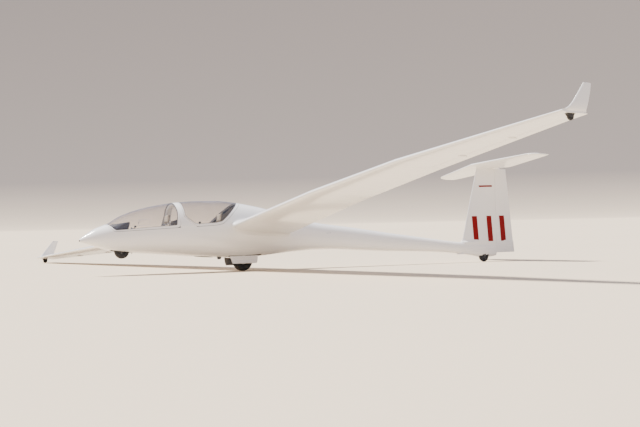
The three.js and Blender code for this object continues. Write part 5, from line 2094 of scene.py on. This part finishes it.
@dataclass
class Seat:
    """A seat: the moulded pan, a stitched cushion, the headrest and the harness."""

    name: str
    corners: tuple
    half: float
    headrest: Pair
    pan: float = 14.0
    pan_share: float = 0.55
    pad: float = 32.0
    pad_side: float = 20.0
    cap: float = 9.0
    seam: float = 7.0
    seam_step: int = 105

    def __post_init__(self) -> None:
        """Works out the line that the seat follows."""
        self.line = SeatLine(self.corners)

    def sheet(self, low: float, high: float, half: float, count: int, margin: float = 0.0,
              curl: float = 0.0, slot: int = 0) -> Form:
        """A bent sheet on the seat's line.

        Args:
            low: its lower face above the line.
            high: its upper face above the line.
            half: its half width.
            count: the number of steps along it.
            margin: how far it stays from the line's ends.
            curl: how far its sides curl up.
            slot: the finish number of its faces.

        Returns:
            The sheet.
        """
        line, last = self.line, SeatLine.COUNT - 1
        length = sum((b - a).length for a, b in zip(line.points, line.points[1:]))
        picked = np.linspace(margin / length * last, (1 - margin / length) * last, count)
        rings = []
        across = [half * math.sin(math.pi * t / 2) for t in np.linspace(-1, 1, 29)]
        for at in picked:
            i = min(int(at), last - 1)
            p, n = (row[i].lerp(row[i + 1], at - i) for row in (line.points, line.rises))
            lift = [curl * max(0.0, (abs(y) / half - 0.82) / 0.18) ** 2 for y in across]
            under = [(p.x + n.x * (low + u), y, p.y + n.y * (low + u)) for y, u in zip(across, lift)]
            over = [(p.x + n.x * (high + u), y, p.y + n.y * (high + u)) for y, u in zip(across, lift)]
            rings.append(over + under[::-1])
        return Form.loft(rings, slot)

    def pan_piece(self) -> Piece:
        """Builds the moulded pan with curled sides and its foot."""
        cavity = Body.loft(-2700, 300, 23.0)
        form = self.sheet(0.0, self.pan * self.pan_share, self.half, 90, curl=24).keep(cavity)
        x, z = self.corners[2]
        foot = Form.box((x - 30, -self.half + 40, 300), (x + 60, self.half - 40, z - 3)).keep(cavity)
        name = self.name + "_seat_pan"
        return form.with_parts(foot.softened(6, 3)).piece(name + "_shell", "airframe", (CABIN,), "cabin",
                                                          (name,))

    def cushion(self) -> Piece:
        """Builds the cushion: a blown-up sheet of cloth with sewn channels and a corded edge."""
        base = self.pan * self.pan_share + 1.5
        half = self.half - self.pad_side - 4
        blank = self.sheet(base, base + self.pad * 0.62, half, 60, 14.0).keep(Body.loft(-2700, 300, 26.0))
        name = self.name + "_seat_cushion"
        piece = blank.piece(name + "_cloth", "airframe", (CLOTH,), "fabric", (name,))
        puff(piece, self.cap * MM, 0.0075)
        self.sew(piece)
        return piece

    def sew(self, piece: Piece) -> None:
        """Presses the sewn channels into the cushion's upper face."""
        flat = np.array([(p.x, p.y) for p in self.line.points])
        lengths = np.concatenate(([0.0], np.cumsum(np.linalg.norm(np.diff(flat, axis=0), axis=1))))
        to_upright = PARKED.matrix.inverted()
        channels = range(110, int(lengths[-1]) - 40, self.seam_step)
        for vertex in piece.data.vertices:
            p = to_upright @ vertex.co
            i = int(np.argmin(np.hypot(flat[:, 0] - p.x, flat[:, 1] - p.z)))
            n = self.line.rises[i]
            if (p.x - flat[i, 0]) * n.x + (p.z - flat[i, 1]) * n.y < self.pan * self.pan_share + 8:
                continue
            depth = max((math.exp(-((lengths[i] - at) / self.seam) ** 2) for at in channels), default=0.0)
            depth = max(depth * (1.0 if abs(p.y) < self.half - 52 else 0.25),
                        math.exp(-((abs(p.y) - (self.half - 50)) / 6.0) ** 2))
            move = -5.0 * depth
            vertex.co = PARKED.matrix @ Vector((p.x + n.x * move, p.y, p.z + n.y * move))

    def cord_edge(self) -> Piece:
        """Builds the corded edge round the cushion."""
        half = self.half - self.pad_side - 3
        lift = self.pan * self.pan_share + self.pad * 0.36
        side = [self.line.above(i, half, lift) for i in range(6, SeatLine.COUNT - 6, 4)]
        path = side + [Vector((p.x, -p.y, p.z)) for p in reversed(side)] + side[:1]
        return Form.rod(path, 2.6, 8).piece(self.name + "_seat_cushion_cord", "airframe", (SLATE,), "fabric")

    def head_pad(self) -> list[Piece]:
        """Builds the headrest's pad and its posts."""
        hx, hz = self.headrest
        outline = [(hx - 6, hz - 64), (hx + 34, hz - 56), (hx + 60, hz + 66), (hx + 20, hz + 74)]
        form = Form.prism(rounded(outline, 14, 5), -82, 82).softened(9, 4, 60)
        name = self.name + "_headrest"
        pad = form.piece(name + "_pad", "airframe", (CLOTH,), "dark", (name,))
        puff(pad, 6 * MM, 0.005)
        posts = [Form.rod([(hx + 10, y, hz - 150), (hx + 30, y, hz - 60), (hx + 52, y, hz + 20)], 6.5, 16)
                 for y in (-42, 42)]
        bracket = Form.box((hx + 18, -60, hz - 40), (hx + 40, 60, hz - 22)).softened(3, 2)
        stand = Form.group((*posts, bracket))
        return [pad, stand.piece(name + "_posts", "airframe", (STEEL,), "steel")]

    def strap(self, places: Sequence[tuple[float, float, float]], width: float = 44.0) -> Form:
        """A flat strap that follows the cushion.

        Args:
            places: for each point, how far along the seat it lies (0 to 1), its Y, and its height.
            width: the strap's width.

        Returns:
            The strap.
        """
        line = self.line
        course = Course([(i, *place) for i, place in enumerate(places)])
        points = []
        for at in np.linspace(0, len(places) - 1, 14 * len(places)):
            share, y, lift = course(at)
            points.append(line.above(line.index(share), y, lift))
        rings = []
        for i, p in enumerate(points):
            run = (points[min(i + 1, len(points) - 1)] - points[max(i - 1, 0)]).normalized()
            out = line.out(int(np.argmin([(q - Vector((p.x, p.z))).length for q in line.points])))
            across = run.cross(out).normalized()
            out = across.cross(run)
            rings.append([p + across * (s * width / 2) + out * d for s, d in
                          ((-1, 0), (-0.94, 1.1), (0.94, 1.1), (1, 0), (0.94, -1.1), (-0.94, -1.1))])
        return Form.loft(rings)

    def harness(self) -> Piece:
        """Builds the harness laid over the cushion, with its buckles."""
        top = self.pan + self.pad + 6
        straps = []
        for sign in (-1, 1):
            straps.append(self.strap([(0.995, sign * 62, 8), (0.97, sign * 62, top + 2),
                                      (0.80, sign * 66, top), (0.62, sign * 74, top + 1),
                                      (0.50, sign * 92, top + 3), (0.42, sign * 60, top + 4)]))
            straps.append(self.strap([(0.52, sign * (self.half - 4), 20),
                                      (0.515, sign * (self.half - 34), top + 1),
                                      (0.47, sign * 110, top + 2), (0.43, sign * 52, top + 5)], 48))
        straps.append(self.strap([(0.30, 0, top - 2), (0.36, 0, top + 2), (0.41, 6, top + 6)], 40))
        line = self.line
        i, k = line.index(0.425), line.index(0.62)
        profile = [(0, -6), (30, -6), (32, -3), (32, 2), (27, 7), (10, 8), (9, 6), (0, 6)]
        buckle = Form.disc(line.above(i, 0, top + 10), line.out(i), profile, 32, 1)
        tongues = []
        for sign in (-1, 1):
            p, normal, side = line.above(k, sign * 74, top + 3), line.out(k), Vector((0, 1, 0))
            run = side.cross(normal)
            corners = rounded([(-28, -17), (28, -17), (28, 17), (-28, 17)], 6, 4)
            rings = [[p + side * a + run * b + normal * h for a, b in corners] for h in (-1.0, 3.4)]
            tongues.append(Form.loft(rings, 1))
        return Form.group((*straps, buckle, *tongues)).piece(self.name + "_harness", "airframe",
                                                             (WEBBING, BRIGHT), "fabric")

    def build(self) -> list[Piece]:
        """Builds the seat."""
        return [self.pan_piece(), self.cushion(), self.cord_edge(), *self.head_pad(), self.harness()]


def puff(piece: Piece, cap: float, voxel: float) -> None:
    """Blows a closed cloth piece up from inside, and keeps the result as its mesh.

    Args:
        piece: the piece, a closed mesh.
        cap: how far a point may move, in metres.
        voxel: the size of the cloth's faces, in metres.
    """
    work = placed(piece.name + "_work", piece.data.copy())
    remesh = work.modifiers.new("remesh", "REMESH")
    remesh.mode = "VOXEL"
    remesh.voxel_size = voxel
    mesh = bpy.data.meshes.new_from_object(work.evaluated_get(bpy.context.evaluated_depsgraph_get()))
    work.modifiers.clear()
    work.data = mesh
    before = np.array([v.co for v in mesh.vertices])
    cloth = work.modifiers.new("cloth", "CLOTH")
    cloth.settings.use_pressure = True
    cloth.settings.uniform_pressure_force = 4.0
    cloth.settings.effector_weights.gravity = 0.0
    cloth.settings.quality = 5
    cloth.point_cache.frame_start, cloth.point_cache.frame_end = 1, CLOTH_FRAMES
    scene = bpy.context.scene
    for number in range(1, CLOTH_FRAMES + 1):
        scene.frame_set(number)
    graph = bpy.context.evaluated_depsgraph_get()
    after = np.array([v.co for v in work.evaluated_get(graph).data.vertices])
    moves = after - before
    lengths = np.linalg.norm(moves, axis=1)
    moves *= np.minimum(1.0, cap / np.maximum(lengths, 1e-9))[:, None]
    work.modifiers.clear()
    mesh.vertices.foreach_set("co", (before + moves).ravel())
    with opened(mesh) as smoothed:
        for _ in range(3):
            bmesh.ops.smooth_vert(smoothed, verts=smoothed.verts, factor=0.5, use_axis_x=True,
                                  use_axis_y=True, use_axis_z=True)
    mesh.materials.clear()
    for material in piece.data.materials:
        mesh.materials.append(material)
    mesh.polygons.foreach_set("use_smooth", [True] * len(mesh.polygons))
    mesh.update()
    bpy.data.objects.remove(work)
    piece.data = mesh
    scene.frame_set(1)


@dataclass
class Dial:
    """A round instrument: its bezel, dark face, white marks and needle."""

    x: float
    y: float
    z: float
    radius: float
    needle: float
    ticks: int = 12

    def form(self, tilt: float) -> Form:
        """Builds the instrument on a panel.

        Args:
            tilt: how far the panel leans back, in radians.

        Returns:
            The instrument, with the bezel, face and centre cap as finish 0, and the marks and needle as
            finish 1.
        """
        r, ahead = self.radius, Vector((1, 0, 0))

        def turned(profile: Sequence[Pair], sides: int) -> Form:
            """A round part on the dial's axis."""
            return Form.disc((0, 0, 0), ahead, profile, sides)

        parts = [turned([(r * 0.86, 0), (r * 1.08, 0), (r * 1.08, 4), (r * 0.98, 6.5), (r * 0.88, 5),
                         (r * 0.86, 1)], 40),
                 turned([(0, 0), (r * 0.87, 0), (r * 0.87, 0.8), (0, 0.8)], 40)]
        for i in range(self.ticks):
            angle = math.radians(-130) + math.radians(260) * i / (self.ticks - 1)
            direction = Vector((0, math.sin(angle), math.cos(angle)))
            ends = [direction * (r * share) + ahead * 1.4 for share in (0.72 if i % 3 else 0.66, 0.82)]
            parts.append(Form.rod(ends, r * (0.022 if i % 3 else 0.034), 6, 1))
        pointer = Vector((0, math.sin(self.needle), math.cos(self.needle)))
        path = [pointer * (share * r) + ahead * 2.4 for share in (-0.14, 0.3, 0.68)]
        parts.append(Form.rod(path, [r * 0.04, r * 0.045, r * 0.012], 8, 1))
        parts.append(turned([(0, 1), (r * 0.09, 1), (r * 0.08, 3.4), (0, 3.6)], 20))
        turn = Matrix.Translation((self.x, self.y, self.z)) @ Matrix.Rotation(-tilt, 4, "Y")
        return Form.group(parts).moved(turn)


@dataclass
class Panels:
    """The instrument panels: the hood, pod and face in front, and the rear panel on the arch."""

    hood: tuple = ((-2459, 842), (-2118, 876), (-2108, 862), (-2144, 752), (-2440, 752))
    pod: tuple = ((-2310, 799.7), (-2150, 799.7), (-2176, 610), (-2238, 390), (-2290, 390), (-2310, 600))
    face: tuple = ((-2188, 799.7), (-2150, 799.7), (-2170, 655), (-2208, 655))
    cavity: Pair = (-2760, 300)
    depth: float = 22.5

    def shroud(self) -> Piece:
        """Builds the hood over the front panel, in leathercloth with a sewn edge."""
        core = Body.loft(*self.cavity, 34.0)
        form = Form.prism(rounded(self.hood, 16, 4), -190, 190).keep(core)
        form = form.cut(Form.box((-2470, -168, 700), (-2050, 168, 800))).softened(5, 3, 30)
        seam = [Form.rod([(x, y, 842 + (x + 2459) * 0.0997) for x in steps_between(-2430, -2130, 20)], 2.0, 8)
                for y in (-120, 120)]
        form = form.with_parts(*seam)
        return form.piece("front_shroud_hood", "airframe", (SLATE,), "dark", ("front_panel_shroud",))

    def front(self) -> Piece:
        """Builds the front panel's pod and face with their dials."""
        wheel_box = Form.box((-2447, -78, 200), (-2063, 78, 587))
        pod = Form.prism(rounded(self.pod, 22, 5), -80, 80)
        face = Form.prism(rounded(self.face, 6, 3), -165, 165)
        form = pod.join(face).cut(wheel_box).keep(Body.loft(*self.cavity, self.depth)).softened(5, 3, 40)
        tilt = math.atan2(20, 145)
        dials = [Dial(-2155, -95, 757, 40, 1.1), Dial(-2155, 0, 757, 40, -0.5), Dial(-2155, 95, 757, 40, 2.0),
                 Dial(-2165, -112, 690, 29, 0.4), Dial(-2165, 112, 690, 29, -1.3)]
        parts = [dial.form(tilt) for dial in dials]
        screen = Form.prism(rounded([(-38, -26), (38, -26), (38, 26), (-38, 26)], 5), 0, 9, "x")
        glass = Form.prism(rounded([(-33, -21), (33, -21), (33, 21), (-33, 21)], 4), 8, 10, "x", 2)
        turn = Matrix.Translation((-2170, 0, 672)) @ Matrix.Rotation(-tilt, 4, "Y")
        parts += [screen.softened(1.5, 2).moved(turn), glass.moved(turn)]
        for i in range(5):
            base = Vector((-2177, -52 + 26 * i, 622))
            parts.append(Form.rod([base, base + Vector((16, 0, 2))], [3.0, 4.4], 12, 1 if i % 2 else 0))
        return form.with_parts(*parts).piece("front_panel_pod", "airframe", (BLACK, PALE, AZURE), "dark",
                                             ("front_instrument_panel",))

    def rear(self) -> Piece:
        """Builds the rear panel and its post."""
        face = Form.prism(rounded([(-1225, 905), (-1180, 905), (-1180, 735), (-1225, 735)], 8, 4), -150, 150)
        post = Form.prism(rounded([(-1225, 760), (-1180, 760), (-1220, 340), (-1270, 340)], 10, 4), -30, 30)
        form = face.join(post).keep(Body.loft(*self.cavity, self.depth)).triangulated().softened(5, 3, 40)
        dials = [Dial(-1180, -98, 852, 38, -0.9), Dial(-1180, 0, 852, 38, 0.7), Dial(-1180, 98, 852, 38, 1.8),
                 Dial(-1180, -52, 776, 28, 0.2), Dial(-1180, 52, 776, 28, -2.0)]
        parts = [dial.form(0.0) for dial in dials]
        return form.with_parts(*parts).piece("rear_panel_face", "airframe", (BLACK, PALE, AZURE), "dark",
                                             ("rear_instrument_panel",))

    def build(self) -> list[Piece]:
        """Builds the panels."""
        return [self.shroud(), self.front(), self.rear()]


@dataclass
class Controls:
    """The sticks, the pedals, and the levers on the side walls."""

    sticks: tuple = (("front", -2040.0, 470.0), ("rear", -1020.0, 430.0))
    lever_grips: tuple = ((-1880.0, AZURE), (-1760.0, AMBER), (-900.0, AZURE))
    lever_z: float = 640.0
    pedal: Pair = (-2400.0, 610.0)
    pedal_y: float = 110.0

    def stick(self, name: str, x: float, z: float) -> Piece:
        """Builds a stick: the tube, a finger-shaped grip with a button, and the boot at its foot.

        Args:
            name: front or rear.
            x: where it stands.
            z: the height of its foot.

        Returns:
            The piece.
        """
        path = [(x, 0, z - 110), (x, 0, z + 10), (x + 8, 0, z + 110), (x + 20, 0, z + 250)]
        tube = Form.rod(path, 9, 20, 1)
        path, radii = [], []
        for i in range(25):
            t = i / 24
            path.append((x + 17 + 13 * t, 0, z + 205 + 125 * t))
            rounding = -6.5 if i in (0, 24) else 0
            radii.append(15.5 + 1.6 * math.cos(t * 8 * math.pi) - 2.5 * t * (1 - t) + rounding)
        grip = Form.rod(path, radii, 24)
        button = Form.disc((x + 30, 0, z + 331), (0.1, 0, 1),
                           [(0, 0), (6, 0), (6, 4), (4.5, 5.5), (0, 6)], 20, 2)
        floor = float(Body.COURSE(x)[1]) + 24
        folds = [(58 * (1 - i / 8) ** 0.8 + 14 + (5 if i % 2 else -3), floor + 6 + 70 * (i / 8))
                 for i in range(9)]
        boot = Form.disc((x, 0, 0), (0, 0, 1), [(0, floor + 4), *folds, (0, floor + 80)], 40, 3)
        finishes = (BLACK, STEEL, MARK, SLATE)
        return tube.with_parts(grip, button, boot).piece(name + "_stick_grip", "airframe", finishes, "black",
                                                         (name + "_stick",))

    def pedals(self) -> Piece:
        """Builds the front pedals with their ribs, hoops and cross tube."""
        px, pz = self.pedal
        parts = []
        for side in Side:
            y = side.value * self.pedal_y
            outline = [(px, pz), (px + 12, pz - 6), (px + 70, pz + 146), (px + 56, pz + 150)]
            parts.append(Form.prism(rounded(outline, 5, 3), y - 42, y + 42).softened(3, 2, 50))
            for i in range(6):
                t = 0.12 + 0.15 * i
                at = Vector((px + 12 + 58 * t, 0, pz - 6 + 152 * t))
                parts.append(Form.rod([at + Vector((0.5, y - 36, 0)), at + Vector((0.5, y + 36, 0))], 2.2, 8))
        end = self.pedal_y + 46
        parts.append(Form.rod([(px + 16, -end, pz + 22), (px + 16, end, pz + 22)], 8, 20, 1))
        foot = rounded([(px + 9, 585.3), (px + 23, 585.3), (px + 22, pz + 24), (px + 10, pz + 24)], 4, 3)
        parts += [Form.prism(foot, y - 6, y + 6, "y", 1) for y in (-62, 62)]
        return Form.group(parts).piece("front_pedal_plates", "airframe", (BLACK, BRIGHT), "black",
                                       ("front_pedals",))

    def levers(self) -> list[Piece]:
        """Builds the airbrake, trim and release levers on the port wall."""
        pieces = []
        z = self.lever_z
        for i, (x, finish) in enumerate(self.lever_grips):
            wall = -(Body.half_width(x, z) - 24)
            rail = Form.box((x - 90, wall - 2, z - 12), (x + 90, wall + 12, z + 8), 1).softened(3, 2)
            rod = Form.rod([(x - 60, wall + 22, z), (x + 40, wall + 22, z)], 6, 16, 1)
            arm = Form.rod([(x + 20, wall + 22, z), (x + 26, wall + 34, z + 26), (x + 28, wall + 40, z + 44)],
                           5.5, 14, 1)
            grip = Form.rod([(x + 28, wall + 40, z + 38), (x + 30, wall + 42, z + 60),
                             (x + 31, wall + 43, z + 96), (x + 32, wall + 44, z + 112)], [9, 12, 12, 8], 18)
            clip = Form.box((x - 62, wall + 8, z - 8), (x - 46, wall + 30, z + 8), 1)
            form = grip.with_parts(rail, rod, arm, clip)
            pieces.append(form.piece(f"wall_lever_{i + 1}", "airframe", (finish, STEEL), "black"))
        return pieces

    def build(self) -> list[Piece]:
        """Builds the controls."""
        return [*(self.stick(*row) for row in self.sticks), self.pedals(), *self.levers()]


@dataclass
class Stage:
    """The floor, the lights and the camera."""

    flat_radius: float = 115.0
    rim: float = 68.0
    rim_curve: float = 0.0078
    sun_turn: float = math.radians(134)
    sun_height: float = math.radians(64)
    sun_strength: float = 12.0
    sun_size: float = math.radians(9)
    sun_color: Triple = (1.0, 0.965, 0.90)
    sky: Triple = (0.62, 0.66, 0.86)
    sky_strength: float = 1.05
    camera_place: Triple = (-15.09453, -28.96212, 0.99608)
    camera_turn: float = 0.4876458
    camera_pitch: float = -0.0010991
    camera_roll: float = -0.0221754
    lens: float = 104.015
    sensor: float = 36.0

    def floor(self) -> Piece:
        """Builds a round floor that curves up gently far away."""
        points, faces = [(0.0, 0.0, 0.0)], []
        radii = [2, 5, 10, 20, 40, 80, *steps_between(self.flat_radius, self.flat_radius + self.rim, 4)]
        sides = 96
        for r in radii:
            height = self.rim_curve * max(0.0, r - self.flat_radius) ** 2
            for s in range(sides):
                angle = 2 * math.pi * s / sides
                points.append((r * math.cos(angle), r * math.sin(angle), height))
        for s in range(sides):
            faces.append([0, 1 + s, 1 + (s + 1) % sides])
        for k in range(len(radii) - 1):
            for s in range(sides):
                a, b = 1 + k * sides + s, 1 + k * sides + (s + 1) % sides
                faces.append([a, a + sides, b + sides, b])
        mesh = bpy.data.meshes.new("floor")
        mesh.from_pydata(points, [], faces)
        mesh.materials.append(Ground("pale_floor").material())
        mesh.polygons.foreach_set("use_smooth", [True] * len(mesh.polygons))
        floor = placed("floor", mesh)
        return floor

    def lights(self) -> None:
        """Adds the sun and the sky."""
        lamp = bpy.data.lights.new("sun", "SUN")
        lamp.energy = self.sun_strength
        lamp.angle = self.sun_size
        lamp.color = self.sun_color
        level = math.cos(self.sun_height)
        direction = Vector((math.cos(self.sun_turn) * level, math.sin(self.sun_turn) * level,
                            math.sin(self.sun_height)))
        placed("sun", lamp).rotation_euler = direction.to_track_quat("Z", "Y").to_euler()
        world = bpy.data.worlds.new("sky")
        world.use_nodes = True
        background = world.node_tree.nodes["Background"]
        background.inputs["Color"].default_value = (*self.sky, 1.0)
        background.inputs["Strength"].default_value = self.sky_strength
        bpy.context.scene.world = world

    def camera(self) -> None:
        """Adds the camera at the photograph's place."""
        data = bpy.data.cameras.new("camera")
        data.lens, data.sensor_width = self.lens, self.sensor
        data.clip_start, data.clip_end = 0.5, 600.0
        camera = placed("camera", data)
        turn, pitch, roll = self.camera_turn, self.camera_pitch, self.camera_roll
        ahead = Vector((math.sin(turn) * math.cos(pitch), math.cos(turn) * math.cos(pitch), math.sin(pitch)))
        right = Vector((math.cos(turn), -math.sin(turn), 0))
        up = right.cross(ahead)
        across = right * math.cos(roll) + up * math.sin(roll)
        upright = up * math.cos(roll) - right * math.sin(roll)
        camera.matrix_world = Matrix((
            *((across[i], upright[i], -ahead[i], self.camera_place[i]) for i in range(3)), (0, 0, 0, 1)))
        bpy.context.scene.camera = camera

    def build(self) -> None:
        """Builds the stage."""
        self.floor()
        self.lights()
        self.camera()


def main() -> None:
    """Builds the aircraft and its stage."""
    logging.basicConfig(level=logging.INFO, format="%(message)s")
    Stage().build()
    assemblies = [
        Fuselage(), Tail(), *(Wing(side) for side in Side), *(TipWheel(side) for side in Side), Gear(),
        FrontCanopy(), RearCanopy(),
        Seat("front", ((-2000, 590), (-1780, 478), (-1640, 452), (-1540, 505), (-1372, 830)), 215,
             (-1378, 925)),
        Seat("rear", ((-990, 560), (-790, 448), (-650, 425), (-550, 482), (-400, 820)), 225, (-402, 925)),
        Panels(), Controls(),
    ]
    for assembly in assemblies:
        count = len(assembly.build())
        LOG.info("%s: %d pieces", type(assembly).__name__, count)


if __name__ == "__main__":
    main()
